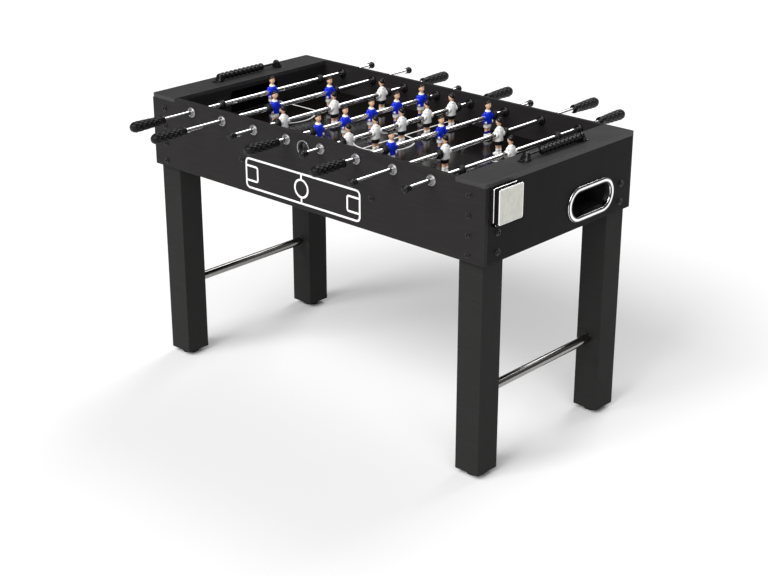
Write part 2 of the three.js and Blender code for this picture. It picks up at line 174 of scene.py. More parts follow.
def filleted(outline: Sequence[Sequence[float]], radius: float, ring: bool = False, steps: int = 4) -> Array:
    """An outline with its corners eased.

    Each corner becomes a parabola that touches both of its sides at the given distance from it, or at
    just under half a side where the side is short.

    Args:
        outline: corner points, in order.
        radius: distance from a corner to where its curve starts.
        ring: whether the outline closes, so that its first and last points are corners as well.
        steps: how many pieces each curve is cut into.

    Returns:
        The points of the eased outline.
    """
    points = np.array(outline, float)
    before, after = np.roll(points, 1, axis=0), np.roll(points, -1, axis=0)
    if not ring:
        before, after = before[1:-1], after[1:-1]
    corner = points if ring else points[1:-1]

    def towards(other: Array) -> Array:
        """The curve's end on the side that leads to the other point.

        Args:
            other: the outline point on that side of each corner.

        Returns:
            The end, one for each corner.
        """
        side = other - corner
        length = np.linalg.norm(side, axis=1, keepdims=True)
        return corner + side * np.minimum(radius / np.maximum(length, 1e-9), 0.49)

    start, end = towards(before)[:, None], towards(after)[:, None]
    t = np.linspace(0, 1, steps + 1)[None, :, None]
    curve = (1 - t) ** 2 * start + 2 * t * (1 - t) * corner[:, None] + t**2 * end
    curve = curve.reshape(-1, points.shape[1])
    return curve if ring else np.concatenate([points[:1], curve, points[-1:]])


def capped(rows: Array) -> Array:
    """Rows of a loft with one more at each end, shrunk to the middle of the end row, which closes it."""
    first, last = rows[:1], rows[-1:]
    return np.concatenate(
        [np.broadcast_to(first.mean(1, keepdims=True), first.shape), rows]
        + [np.broadcast_to(last.mean(1, keepdims=True), last.shape)]
    )


def angles(sides: int) -> Array:
    """Equal steps round a full turn, without the last."""
    return np.arange(sides) * TURN / sides


def lathed(
    profile: Sequence[Sequence[float]],
    axis: Axis,
    sides: int = 48,
    coats: int | Array = 0,
    ring: bool = False,
) -> Surface:
    """A turned shape: each profile row is a circle of its radius at its place along the axis.

    Args:
        profile: rows of radius and place along the axis; a radius of 0 closes the shape.
        axis: the direction of the places.
        sides: points round the axis.
        coats: finish numbers, as for Surface.grid.
        ring: whether the profile closes on itself, as on a bored piece.

    Returns:
        The turned surface.
    """
    radius, along = np.array(profile, float).T[:, :, None]
    around = angles(sides)[None, :]
    return Surface.grid(
        axis.place(radius * np.cos(around), radius * np.sin(around), along + 0 * around), coats, ring
    )


def loft(
    sections: Sequence[Sequence[float]], sides: int, steps: int, bands: Sequence[tuple[float, int]]
) -> Surface:
    """A standing shape whose level sections are superellipses.

    At each height the point at angle t is at half depth times |cos t| to the power of the squareness,
    and half width times |sin t| to the same power, each with its sign, about the section's middle.

    Args:
        sections: rows of height, half depth, half width, middle forwards, middle sideways, squareness.
        sides: points round each section.
        steps: pieces between two sections.
        bands: pairs of upper height and finish number, lowest first.

    Returns:
        The closed surface.
    """
    height, depth, width, forward, sideways, power = through(sections, steps).T[:, :, None]
    turn = angles(sides)[None, :]
    cosine, sine = np.cos(turn), np.sin(turn)
    points = np.stack(
        [
            forward + depth * np.sign(cosine) * np.abs(cosine) ** power,
            sideways + width * np.sign(sine) * np.abs(sine) ** power,
            height + 0 * turn,
        ],
        -1,
    )
    rows = capped(points)
    middle = (rows[1:, 0, 2] + rows[:-1, 0, 2]) / 2
    limits, numbers = zip(*bands)
    chosen = np.minimum(np.searchsorted(np.array(limits), middle), len(numbers) - 1)
    return Surface.grid(rows, np.array(numbers)[chosen])


def tube(path: Array, radii: Array, sides: int, coats: int | Array = 0) -> Surface:
    """A round limb: circles of the given radii, square to the path at each of its points.

    Args:
        path: rows of x, y and z along the middle of the limb.
        radii: the radius at each row.
        sides: points round the limb.
        coats: finish numbers, as for Surface.grid.

    Returns:
        The limb, closed at both ends.
    """
    along = np.gradient(path, axis=0)
    along /= np.linalg.norm(along, axis=1, keepdims=True)
    across = np.cross(along, np.array([1.0, 0.0, 0.0]))
    across /= np.linalg.norm(across, axis=1, keepdims=True)
    other = np.cross(along, across)
    turn = angles(sides)[None, :, None]
    rows = path[:, None] + radii[:, None, None] * (
        np.cos(turn) * across[:, None] + np.sin(turn) * other[:, None]
    )
    return Surface.grid(capped(rows), coats)


def ellipsoid(centre: Point, half: Point, coat: int, columns: int = 16, rows: int = 10) -> Surface:
    """A ball stretched to the given half sizes about its centre.

    Args:
        centre: its middle.
        half: half sizes in x, y and z.
        coat: its finish number.
        columns: points round the vertical.
        rows: rows from pole to pole.

    Returns:
        The closed surface.
    """
    polar, turn = np.linspace(-math.pi / 2, math.pi / 2, rows)[:, None], angles(columns)[None, :]
    unit = Axis.Z.place(np.cos(polar) * np.cos(turn), np.cos(polar) * np.sin(turn), np.sin(polar) + 0 * turn)
    return Surface.grid(unit * np.array(half) + np.array(centre), coat)


@dataclass(frozen=True)
class Sheet:
    """A flat place to lay things on: its origin, its two directions and the direction it looks."""

    origin: Point
    right: Point
    up: Point

    def points(self, right: Array, up: Array, proud: Array) -> Array:
        """Points from their distances along the sheet's directions and proud of it.

        Args:
            right: distances in the first direction.
            up: distances in the second.
            proud: distances off the sheet.

        Returns:
            The points, with x, y and z last.
        """
        one, two = np.array(self.right, float), np.array(self.up, float)
        out = np.cross(one, two)
        return np.array(self.origin) + right[..., None] * one + up[..., None] * two + proud[..., None] * out


def ribbon(path: Array, width: float, thickness: float, sheet: Sheet, ring: bool = False) -> Surface:
    """A flat line of paint or trim along a path on a sheet.

    Its section is a rectangle that spans the width across the path and reaches from just under the
    sheet to the thickness proud of it.

    Args:
        path: rows of right and up on the sheet.
        width: width of the line.
        thickness: how far it stands proud.
        sheet: where it lies.
        ring: whether the path closes on itself.

    Returns:
        The closed strip.
    """
    if ring:
        along = np.roll(path, -1, axis=0) - np.roll(path, 1, axis=0)
    else:
        along = np.gradient(path, axis=0)
    along /= np.linalg.norm(along, axis=1, keepdims=True)
    side = np.stack([along[:, 1], -along[:, 0]], -1) * width / 2
    across = np.array([-1, 1, 1, -1])[None, :, None]
    flat = path[:, None] + side[:, None] * across
    proud = np.broadcast_to(np.array([-thickness, -thickness, thickness, thickness]), flat.shape[:2])
    rows = sheet.points(flat[..., 0], flat[..., 1], proud)
    return Surface.grid(rows, ring=True) if ring else Surface.grid(capped(rows))


def stroke(start: Sequence[float], end: Sequence[float]) -> Array:
    """A straight path from one point to another."""
    return np.linspace(np.array(start, float), np.array(end, float), 2)


def bow(centre: Sequence[float], radius: float, start: float, end: float, pieces: int = 64) -> Array:
    """A path round part of a circle, from one angle to another in degrees."""
    turn = np.radians(np.linspace(start, end, pieces + 1))
    return np.array(centre) + radius * np.stack([np.cos(turn), np.sin(turn)], -1)


def rounded_box(half_right: float, half_up: float, corner: float, inset: Array, pieces: int = 8) -> Array:
    """Rounded rectangles, one for each inset, whose corners shrink with the inset.

    Args:
        half_right: half size in the first direction.
        half_up: half size in the second direction.
        corner: corner radius at no inset.
        inset: how far each rectangle lies inside the outer one.
        pieces: pieces round each corner.

    Returns:
        An array of insets by points by 2.
    """
    turn = np.radians(np.linspace(0, 90, pieces + 1))
    quarters = (turn[None, :] + np.arange(4)[:, None] * math.pi / 2).reshape(-1)
    right = np.repeat([1, -1, -1, 1], pieces + 1)
    up = np.repeat([1, 1, -1, -1], pieces + 1)
    inset = inset[:, None]
    radius = np.maximum(corner - inset, 0.3)
    return np.stack(
        [
            right * np.maximum(half_right - inset - radius, 0) + radius * np.cos(quarters),
            up * np.maximum(half_up - inset - radius, 0) + radius * np.sin(quarters),
        ],
        -1,
    )


def framed(
    half_right: float,
    half_up: float,
    corner: float,
    profile: Sequence[Sequence[float]],
    axis: Axis,
    coats: int | Array = 0,
    ring: bool = False,
) -> Surface:
    """A profile carried round a rounded rectangle.

    Args:
        half_right: half size of the rectangle in the axis's first cross direction.
        half_up: half size in its second.
        corner: corner radius.
        profile: rows of inset from the rectangle and place along the axis.
        axis: the direction that the rectangle faces.
        coats: finish numbers, as for Surface.grid.
        ring: whether the profile closes; otherwise its two ends are closed flat.

    Returns:
        The closed surface.
    """
    inset, along = np.array(profile, float).T
    flat = rounded_box(half_right, half_up, corner, inset)
    rows = axis.place(flat[..., 0], flat[..., 1], np.broadcast_to(along[:, None], flat.shape[:2]))
    return Surface.grid(rows if ring else capped(rows), coats, ring)


# ---- finishes ------------------------------------------------------------------------------------
class Wiring:
    """A node tree with short calls to add nodes and join them."""

    def __init__(self, tree: bpy.types.NodeTree) -> None:
        """Takes the tree to work on."""
        self.tree = tree

    def add(self, kind: str, settings: dict | None = None, **inputs: object) -> bpy.types.Node:
        """Adds a node.

        Args:
            kind: the node's type without its ShaderNode prefix.
            settings: the node's own properties.
            **inputs: sockets by name, with _ for a space; a socket value is linked, others are set.

        Returns:
            The node.
        """
        node = self.tree.nodes.new("ShaderNode" + kind)
        for name, value in (settings or {}).items():
            setattr(node, name, value)
        for name, value in inputs.items():
            self.feed(node, name.replace("_", " "), value)
        return node

    def feed(self, node: bpy.types.Node, name: str | int, value: object) -> None:
        """Links a socket to an input, or sets the input's own value.

        Args:
            node: the node to feed.
            name: the input's name or number.
            value: a socket to link, or a value to set.
        """
        if isinstance(value, bpy.types.NodeSocket):
            self.tree.links.new(value, node.inputs[name])
        else:
            node.inputs[name].default_value = value

    def maths(self, operation: str, *values: object) -> bpy.types.NodeSocket:
        """The result of a Math node.

        Args:
            operation: the node's operation.
            *values: its inputs, sockets or numbers.

        Returns:
            The socket with the result.
        """
        node = self.add("Math", {"operation": operation})
        for index, value in enumerate(values):
            self.feed(node, index, value)
        return node.outputs[0]

    def ramp(self, value: object, low: float, high: float) -> bpy.types.NodeSocket:
        """A smooth step from 0 at low to 1 at high.

        Args:
            value: the socket or number to step.
            low: where the step starts.
            high: where it ends.

        Returns:
            The socket with the step.
        """
        node = self.add("MapRange", {"interpolation_type": "SMOOTHSTEP"}, Value=value)
        node.inputs["From Min"].default_value = low
        node.inputs["From Max"].default_value = high
        return node.outputs["Result"]

    def mixed(self, share: object, one: object, two: object) -> bpy.types.NodeSocket:
        """A colour between two, by share.

        Args:
            share: how much of the second colour.
            one: the first colour.
            two: the second.

        Returns:
            The socket with the colour.
        """
        node = self.add("Mix", {"data_type": "RGBA"})
        self.feed(node, 0, share)
        self.feed(node, 6, one)
        self.feed(node, 7, two)
        return node.outputs[2]

    def noise(
        self, place: object, scale: object, detail: float = 3, rough: float = 0.5
    ) -> bpy.types.NodeSocket:
        """The value of a noise texture."""
        node = self.add("TexNoise", None, Vector=place, Scale=scale, Detail=detail, Roughness=rough)
        return node.outputs["Fac"]


class Effect(Enum):
    """A shared effect, with the names of its inputs and outputs."""

    LAMINATE = ("laminate_grain", ("Place", "Scale"), ("Shade", "Height"))
    MOULDED = ("moulded_texture", ("Place", "Scale"), ("Shade", "Height"))
    BRUSHED = ("polishing_lines", ("Place", "Scale"), ("Shade", "Height"))
    EDGE_WEAR = ("edge_wear", ("Place", "Width"), ("Mask",))
    DUST = ("settled_dust", ("Place", "Scale"), ("Mask",))
    SMUDGE = ("hand_smudges", ("Place", "Scale"), ("Mask",))

    def group(self) -> bpy.types.NodeTree:
        """The effect's node group, built the first time that it is asked for.

        Returns:
            The node group.
        """
        name, inputs, outputs = self.value
        found = bpy.data.node_groups.get(name)
        if found:
            return found
        tree = bpy.data.node_groups.new(name, "ShaderNodeTree")
        for word in inputs:
            kind = "NodeSocketVector" if word == "Place" else "NodeSocketFloat"
            tree.interface.new_socket(word, in_out="INPUT", socket_type=kind)
        for word in outputs:
            tree.interface.new_socket(word, in_out="OUTPUT", socket_type="NodeSocketFloat")
        wiring = Wiring(tree)
        into = tree.nodes.new("NodeGroupInput").outputs
        results = _EFFECT_MAKERS[self](wiring, into[0], into[1])
        out = tree.nodes.new("NodeGroupOutput")
        for index, result in enumerate(results):
            tree.links.new(result, out.inputs[index])
        return tree


Sockets = tuple[bpy.types.NodeSocket, ...]


def _laminate(wiring: Wiring, place: object, scale: object) -> Sockets:
    """Printed board foil: a fine pebbled skin over long faint streaks along the board.

    Args:
        wiring: the tree to add nodes to.
        place: where the surface is, in metres.
        scale: how fine the pattern is.

    Returns:
        The shade and the height.
    """
    pebbles = wiring.noise(place, scale, 4, 0.6)
    stretched = wiring.add("Mapping", None, Vector=place)
    stretched.inputs["Scale"].default_value = (0.05, 1.0, 1.0)
    streaks = wiring.noise(stretched.outputs[0], wiring.maths("MULTIPLY", scale, 0.25), 4, 0.65)
    fine, coarse = wiring.maths("MULTIPLY", pebbles, 0.45), wiring.maths("MULTIPLY", streaks, 0.55)
    return wiring.maths("ADD", fine, coarse), pebbles


def _moulded(wiring: Wiring, place: object, scale: object) -> Sockets:
    """Plastic from an etched mould: small flat cells, and a slow change of shade over the piece.

    Args:
        wiring: the tree to add nodes to.
        place: where the surface is, in metres.
        scale: how fine the pattern is.

    Returns:
        The shade and the height.
    """
    cells = wiring.add("TexVoronoi", {"feature": "SMOOTH_F1"}, Vector=place, Scale=scale).outputs["Distance"]
    slow = wiring.noise(place, wiring.maths("MULTIPLY", scale, 0.03), 2, 0.5)
    return slow, cells


def _brushed(wiring: Wiring, place: object, scale: object) -> Sockets:
    """Plating over a drawn tube: hairlines that run along Y, with cloudy patches between them.

    Args:
        wiring: the tree to add nodes to.
        place: where the surface is, in metres.
        scale: how fine the pattern is.

    Returns:
        The shade and the height.
    """
    stretched = wiring.add("Mapping", None, Vector=place)
    stretched.inputs["Scale"].default_value = (1.0, 0.02, 1.0)
    lines = wiring.noise(stretched.outputs[0], scale, 2, 0.5)
    clouds = wiring.noise(place, wiring.maths("MULTIPLY", scale, 0.05), 3, 0.6)
    return clouds, lines


def _edge_wear(wiring: Wiring, place: object, width: object) -> Sockets:
    """Rubbed edges: where the surface turns within the width, broken up by noise.

    Args:
        wiring: the tree to add nodes to.
        place: where the surface is, in metres.
        width: how far from an edge the wear reaches.

    Returns:
        The mask.
    """
    eased = wiring.add("Bevel", {"samples": 6}, Radius=width).outputs[0]
    true = wiring.add("NewGeometry").outputs["Normal"]
    facing = wiring.add("VectorMath", {"operation": "DOT_PRODUCT"})
    wiring.feed(facing, 0, eased)
    wiring.feed(facing, 1, true)
    edge = wiring.ramp(wiring.maths("SUBTRACT", 1.0, facing.outputs["Value"]), 0.02, 0.25)
    broken = wiring.ramp(wiring.noise(place, 90.0, 5, 0.7), 0.35, 0.7)
    return (wiring.maths("MULTIPLY", edge, broken),)


def _dust(wiring: Wiring, place: object, scale: object) -> Sockets:
    """Dust: patches on the faces that look up.

    Args:
        wiring: the tree to add nodes to.
        place: where the surface is, in metres.
        scale: how fine the pattern is.

    Returns:
        The mask.
    """
    up = wiring.add("SeparateXYZ", None, Vector=wiring.add("NewGeometry").outputs["Normal"]).outputs["Z"]
    patches = wiring.ramp(wiring.noise(place, scale, 5, 0.65), 0.42, 0.75)
    return (wiring.maths("MULTIPLY", wiring.ramp(up, 0.6, 0.95), patches),)


def _smudge(wiring: Wiring, place: object, scale: object) -> Sockets:
    """Smudges: soft clouds with finer ones inside them.

    Args:
        wiring: the tree to add nodes to.
        place: where the surface is, in metres.
        scale: how fine the pattern is.

    Returns:
        The mask.
    """
    soft = wiring.ramp(wiring.noise(place, scale, 2, 0.5), 0.4, 0.7)
    fine = wiring.noise(place, wiring.maths("MULTIPLY", scale, 9.0), 4, 0.7)
    return (wiring.maths("MULTIPLY", soft, fine),)


_EFFECT_MAKERS: dict[Effect, Callable[[Wiring, object, object], Sockets]] = {
    Effect.LAMINATE: _laminate,
    Effect.MOULDED: _moulded,
    Effect.BRUSHED: _brushed,
    Effect.EDGE_WEAR: _edge_wear,
    Effect.DUST: _dust,
    Effect.SMUDGE: _smudge,
}


WORN_WIDTH = 0.0012
DUST_SCALE = 14.0
DUST_COLOUR: Colour = (0.45, 0.43, 0.41)
SMUDGE_SCALE = 16.0
COAT_ROUGHNESS = 0.08


@dataclass(frozen=True)
class Finish:
    """One material: its colour and gloss, and how strongly each shared effect shows on it."""

    name: str
    colour: Colour
    roughness: float
    texture: Effect = Effect.MOULDED
    texture_scale: float = 1500.0
    shade: float = 0.15
    relief: float = 0.00003
    metallic: float = 0.0
    coat: float = 0.0
    smudge: float = 0.08
    wear: float = 0.0
    worn: Colour = (0.3, 0.3, 0.3)
    dust: float = 0.0
    specular: float = 0.5

    def _effect(self, wiring: Wiring, effect: Effect, place: object, value: float) -> bpy.types.Node:
        """Places a shared effect with its own value for the second input.

        Args:
            wiring: the tree to add it to.
            effect: the effect.
            place: where the surface is.
            value: the value of its second input.

        Returns:
            The group node.
        """
        node = wiring.add("Group", {"node_tree": effect.group()})
        wiring.feed(node, 0, place)
        wiring.feed(node, 1, value)
        return node

    def material(self) -> bpy.types.Material:
        """The finish's material, built the first time that it is asked for.

        Returns:
            The material.
        """
        found = bpy.data.materials.get(self.name)
        if found:
            return found
        made = bpy.data.materials.new(self.name)
        made.use_nodes = True
        made.diffuse_color = (*self.colour, 1.0)
        wiring = Wiring(made.node_tree)
        shader = made.node_tree.nodes["Principled BSDF"]
        place = wiring.add("TexCoord").outputs["Object"]
        texture = self._effect(wiring, self.texture, place, self.texture_scale)
        dark = tuple(c * (1 - self.shade) for c in self.colour) + (1.0,)
        light = tuple(min(1.0, c * (1 + self.shade)) for c in self.colour) + (1.0,)
        colour = wiring.mixed(wiring.ramp(texture.outputs["Shade"], 0.3, 0.7), dark, light)
        if self.wear:
            mask = self._effect(wiring, Effect.EDGE_WEAR, place, WORN_WIDTH).outputs["Mask"]
            colour = wiring.mixed(wiring.maths("MULTIPLY", mask, self.wear), colour, (*self.worn, 1.0))
        if self.dust:
            mask = self._effect(wiring, Effect.DUST, place, DUST_SCALE).outputs["Mask"]
            colour = wiring.mixed(wiring.maths("MULTIPLY", mask, self.dust), colour, (*DUST_COLOUR, 1.0))
        wiring.feed(shader, "Base Color", colour)
        smudge = self._effect(wiring, Effect.SMUDGE, place, SMUDGE_SCALE).outputs["Mask"]
        rubbed = wiring.maths("MULTIPLY", smudge, self.smudge)
        wiring.feed(shader, "Roughness", wiring.maths("ADD", rubbed, self.roughness))
        bump = wiring.add("Bump", None, Strength=1.0, Distance=self.relief, Height=texture.outputs["Height"])
        wiring.feed(shader, "Normal", bump.outputs[0])
        shader.inputs["Metallic"].default_value = self.metallic
        shader.inputs["Specular IOR Level"].default_value = self.specular
        shader.inputs["Coat Weight"].default_value = self.coat
        shader.inputs["Coat Roughness"].default_value = COAT_ROUGHNESS
        return made


CABINET_FOIL = Finish(
    "cabinet_foil",
    (0.0180, 0.0167, 0.0167),
    roughness=0.45,
    texture=Effect.LAMINATE,
    texture_scale=900.0,
    shade=0.14,
    relief=0.00004,
    wear=0.3,
    dust=0.01,
    specular=0.07,
)
# Painted shade: the end panels are the same black board as the side panels, given a darker colour because the
# end faces away from the key lamp.
END_FOIL_PAINTED_SHADE = replace(CABINET_FOIL, name="end_foil_painted_shade", colour=(0.0095, 0.0090, 0.0090), specular=0.05)
# Painted light: the end tops are the same black board, given a lighter colour for the sheen that light from
# above and behind lays on them.
TOP_FOIL_PAINTED_SHEEN = replace(
    CABINET_FOIL,
    name="end_top_foil_painted_sheen",
    colour=(0.030, 0.0285, 0.0285),
    roughness=0.38,
    shade=0.2,
    dust=0.02,
    specular=0.3,
)
LEG_FOIL = replace(
    CABINET_FOIL,
    name="leg_foil",
    colour=(0.021, 0.0206, 0.0203),
    roughness=0.5,
    texture_scale=800.0,
    shade=0.12,
    dust=0.0,
    specular=0.05,
)
FIELD_FOIL = replace(
    CABINET_FOIL,
    name="field_foil",
    colour=(0.0045, 0.0036, 0.0034),
    roughness=0.14,
    texture_scale=500.0,
    shade=0.25,
    relief=0.000004,
    smudge=0.06,
    wear=0.0,
    dust=0.0,
    specular=0.22,
)
LINE_PAINT = Finish(
    "line_paint", (0.86, 0.86, 0.85), roughness=0.4, texture_scale=1200.0, shade=0.04, relief=0.00001
)
PANEL_PAINT = replace(LINE_PAINT, name="panel_paint", colour=(0.88, 0.88, 0.88), roughness=0.45)
BLACK_MOULDING = Finish(
    "black_moulding", (0.006, 0.006, 0.006), roughness=0.24, wear=0.1, worn=(0.06, 0.06, 0.06), specular=0.22
)
POCKET_MOULDING = Finish("pocket_moulding", (0.004, 0.004, 0.004), roughness=0.5)
GREY_MOULDING = Finish(
    "grey_moulding", (0.27, 0.27, 0.28), roughness=0.24, shade=0.06, relief=0.000004, metallic=0.75
)
GRIP_RUBBER = Finish(
    "grip_rubber", (0.004, 0.004, 0.0042), roughness=0.33, texture_scale=1100.0, relief=0.00004, specular=0.2
)
BUMPER_RUBBER = Finish(
    "bumper_rubber", (0.005, 0.005, 0.005), roughness=0.5, texture_scale=1100.0, relief=0.00005, specular=0.3
)
FOOT_RUBBER = replace(
    BUMPER_RUBBER, name="foot_rubber", roughness=0.55, texture_scale=700.0, relief=0.0001
)
BLACK_STEEL = Finish("black_steel", (0.014, 0.014, 0.014), roughness=0.24, metallic=0.5, wear=0.2)
ROD_PLATING = Finish(
    "rod_plating",
    (0.86, 0.86, 0.87),
    roughness=0.09,
    texture=Effect.BRUSHED,
    texture_scale=2500.0,
    shade=0.04,
    relief=0.000002,
    metallic=1.0,
    smudge=0.1,
)
TUBE_PLATING = replace(
    ROD_PLATING,
    name="tube_plating",
    colour=(0.30, 0.29, 0.28),
    roughness=0.12,
    texture_scale=2000.0,
    shade=0.08,
    smudge=0.12,
)
RIM_PLATING = replace(
    ROD_PLATING,
    name="rim_plating",
    colour=(0.90, 0.90, 0.90),
    roughness=0.10,
    texture_scale=1500.0,
    shade=0.03,
    smudge=0.06,
)
PEARL_ENAMEL = Finish(
    "pearl_enamel",
    (0.56, 0.56, 0.50),
    roughness=0.3,
    texture_scale=3000.0,
    shade=0.06,
    relief=0.000004,
    metallic=0.25,
    coat=0.4,
)
SHIRT_BLUE = Finish(
    "shirt_blue", (0.004, 0.025, 0.62), roughness=0.3, shade=0.1, relief=0.00001, specular=0.35
)
SOCK_BLUE = replace(SHIRT_BLUE, name="sock_blue", colour=(0.012, 0.008, 0.30), roughness=0.32)
KIT_WHITE = Finish(
    "kit_white", (0.95, 0.95, 0.94), roughness=0.34, shade=0.01, relief=0.00001, coat=0.1
)
KIT_BLACK = Finish("kit_black", (0.006, 0.006, 0.007), roughness=0.3, relief=0.00001, specular=0.35)
SKIN_PAINT = Finish(
    "skin_paint", (0.80, 0.50, 0.33), roughness=0.36, shade=0.05, relief=0.00001, coat=0.15
)
HAIR_PAINT = Finish("hair_paint", (0.006, 0.004, 0.003), roughness=0.3, relief=0.00003, specular=0.3)
FEATURE_PAINT = Finish("feature_paint", (0.05, 0.02, 0.015), roughness=0.3, relief=0.00001)


# ---- making pieces -------------------------------------------------------------------------------
def mark_sharp(mesh: bpy.types.Mesh, degrees: float) -> None:
    """Smooths a mesh except across edges whose two faces turn by more than the given angle.

    Args:
        mesh: the mesh, whose faces share points.
        degrees: the greatest angle that is smoothed.
    """
    mesh.polygons.foreach_set("use_smooth", np.ones(len(mesh.polygons), bool))
    normals = np.empty(len(mesh.polygons) * 3, np.float32)
    mesh.polygons.foreach_get("normal", normals)
    normals = normals.reshape(-1, 3)
    counts = np.empty(len(mesh.polygons), np.int32)
    mesh.polygons.foreach_get("loop_total", counts)
    edges = np.empty(len(mesh.loops), np.int32)
    mesh.loops.foreach_get("edge_index", edges)
    faces = np.repeat(np.arange(len(counts)), counts)
    order = np.argsort(edges, kind="stable")
    pair = np.flatnonzero(edges[order][1:] == edges[order][:-1])
    one, two = faces[order[pair]], faces[order[pair + 1]]
    turned = (normals[one] * normals[two]).sum(1) < math.cos(math.radians(degrees))
    sharp = np.zeros(len(mesh.edges), bool)
    sharp[edges[order[pair]]] = turned
    found = mesh.attributes.get("sharp_edge") or mesh.attributes.new("sharp_edge", "BOOLEAN", "EDGE")
    found.data.foreach_set("value", sharp)


@dataclass(frozen=True)
class Role:
    """Where a piece belongs: the body it rides on, its material slot and the CAD nodes it stands for."""

    body: str
    slot: str
    replaces: tuple[str, ...] = ()

    def given_to(self, piece: bpy.types.Object) -> None:
        """Parents the piece to its body's empty and hides the CAD nodes that it stands for.

        Args:
            piece: the piece to tell it of.
        """
        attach(piece, self.body)
        if self.replaces:
            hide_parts(*self.replaces)
        LOG.info("%s rides on %s, %d faces", piece.name, self.body, len(piece.data.polygons))


def make_piece(
    name: str, surface: Surface, role: Role, finishes: Sequence[Finish], crease: float = 40.0
) -> bpy.types.Object:
    """Turns a surface into a piece.

    Points that coincide are merged, which closes seams and poles, and every closed shell is made to
    face outwards.

    Args:
        name: the piece's name.
        surface: its shape.
        role: where it belongs.
        finishes: its finishes, in the order of the surface's coat numbers.
        crease: faces that meet at more than this many degrees keep a sharp edge.

    Returns:
        The object, at the origin.
    """
    mesh = bpy.data.meshes.new(name)
    mesh.from_pydata((surface.points * MM).tolist(), [], surface.quads.tolist())
    mesh.polygons.foreach_set("material_index", surface.coats.astype(np.int32))
    working = bmesh.new()
    working.from_mesh(mesh)
    bmesh.ops.remove_doubles(working, verts=working.verts, dist=0.002 * MM)
    bmesh.ops.recalc_face_normals(working, faces=working.faces)
    working.to_mesh(mesh)
    working.free()
    mark_sharp(mesh, crease)
    for finish in finishes:
        mesh.materials.append(finish.material())
    piece = bpy.data.objects.new(name, mesh)
    bpy.context.scene.collection.objects.link(piece)
    role.given_to(piece)
    return piece


@dataclass(frozen=True)
class Board:
    """A CAD board finished as a real one: sawn edges eased, and its outer upright corners rounded."""

    node: str
    slot: str
    finish: Finish
    edge: float = 0.8
    corner: float = 0.0

    def _upright_corners(self, working: bmesh.types.BMesh) -> Array:
        """Which edges stand upright at one of the board's outermost corners.

        Args:
            working: the merged mesh, in metres.

        Returns:
            A truth value for each edge.
        """
        ends = np.array([[tuple(v.co) for v in e.verts] for e in working.edges])
        reach = np.abs(ends).max((0, 1)) - MM
        outer = (np.abs(ends[..., 0]) > reach[0]) & (np.abs(ends[..., 1]) > reach[1])
        upright = np.ptp(ends[..., 2], axis=1) > 10 * MM
        return outer.all(1) & upright

    def build(self, nodes: dict[str, bpy.types.Object]) -> bpy.types.Object:
        """Copies the CAD node, merges its loose triangles and bevels its real edges.

        Args:
            nodes: the frame's CAD objects by name.

        Returns:
            The finished board.
        """
        mesh = nodes[self.node].data.copy()
        mesh.materials.clear()
        mesh.materials.append(self.finish.material())
        working = bmesh.new()
        working.from_mesh(mesh)
        bmesh.ops.remove_doubles(working, verts=working.verts, dist=0.01 * MM)
        bmesh.ops.dissolve_limit(
            working, angle_limit=math.radians(0.5), verts=working.verts, edges=working.edges
        )
        weight = working.edges.layers.float.new("bevel_weight_edge")
        wide = max(self.edge, self.corner)
        rounded = self._upright_corners(working) if self.corner else np.zeros(len(working.edges), bool)
        for edge, big in zip(working.edges, rounded):
            if edge.calc_face_angle(0.0) > math.radians(35):
                edge[weight] = 1.0 if big else self.edge / wide
        working.to_mesh(mesh)
        working.free()
        mesh.polygons.foreach_set("use_smooth", np.ones(len(mesh.polygons), bool))
        for extra in ("UVMap", "custom_normal"):
            found = mesh.attributes.get(extra)
            if found:
                mesh.attributes.remove(found)
        piece = bpy.data.objects.new(f"{self.node}_board", mesh)
        bpy.context.scene.collection.objects.link(piece)
        bevel = piece.modifiers.new("eased_edges", "BEVEL")
        bevel.limit_method = "WEIGHT"
        bevel.width = wide * MM
        bevel.segments = 4
        normals = piece.modifiers.new("flat_faces", "WEIGHTED_NORMAL")
        normals.keep_sharp = True
        Role("root", self.slot, (self.node,)).given_to(piece)
        return piece


def box_of(node: str) -> tuple[Array, Array]:
    """Lowest and highest corner of a CAD node, in millimetres."""
    low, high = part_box(node)
    return np.array(low) / MM, np.array(high) / MM


# ---- cabinet -------------------------------------------------------------------------------------
@dataclass
class Cabinet:
    """The boards of the cabinet and the playing field."""

    nodes: dict[str, bpy.types.Object]
    corner: float = 6.0
    edge: float = 0.9

    def build(self) -> None:
        """Eases every board, and paints the CAD field and goal walls, whose shape is already right."""
        for side in ("front", "back"):
            panel = Board(f"side_panel_{side}", "cabinet_board", CABINET_FOIL, self.edge, self.corner)
            panel.build(self.nodes)
        for end in ("left", "right"):
            # The end panels take a darker copy of the board's colour as painted shade.
            Board(f"end_panel_{end}", "cabinet_board", END_FOIL_PAINTED_SHADE, self.edge).build(self.nodes)
            # The end tops take a lighter copy of the board's colour as a painted sheen.
            Board(f"end_top_{end}", "cabinet_board", TOP_FOIL_PAINTED_SHEEN, self.edge).build(self.nodes)
            self._paint(f"goal_wall_{end}", CABINET_FOIL)
        self._paint("playfield", FIELD_FOIL)

    def _paint(self, node: str, finish: Finish) -> None:
        """Gives a CAD node that stays as it is a finish.

        Args:
            node: the node's name.
            finish: its finish.
        """
        mesh = self.nodes[node].data
        mesh.materials.clear()
        mesh.materials.append(finish.material())


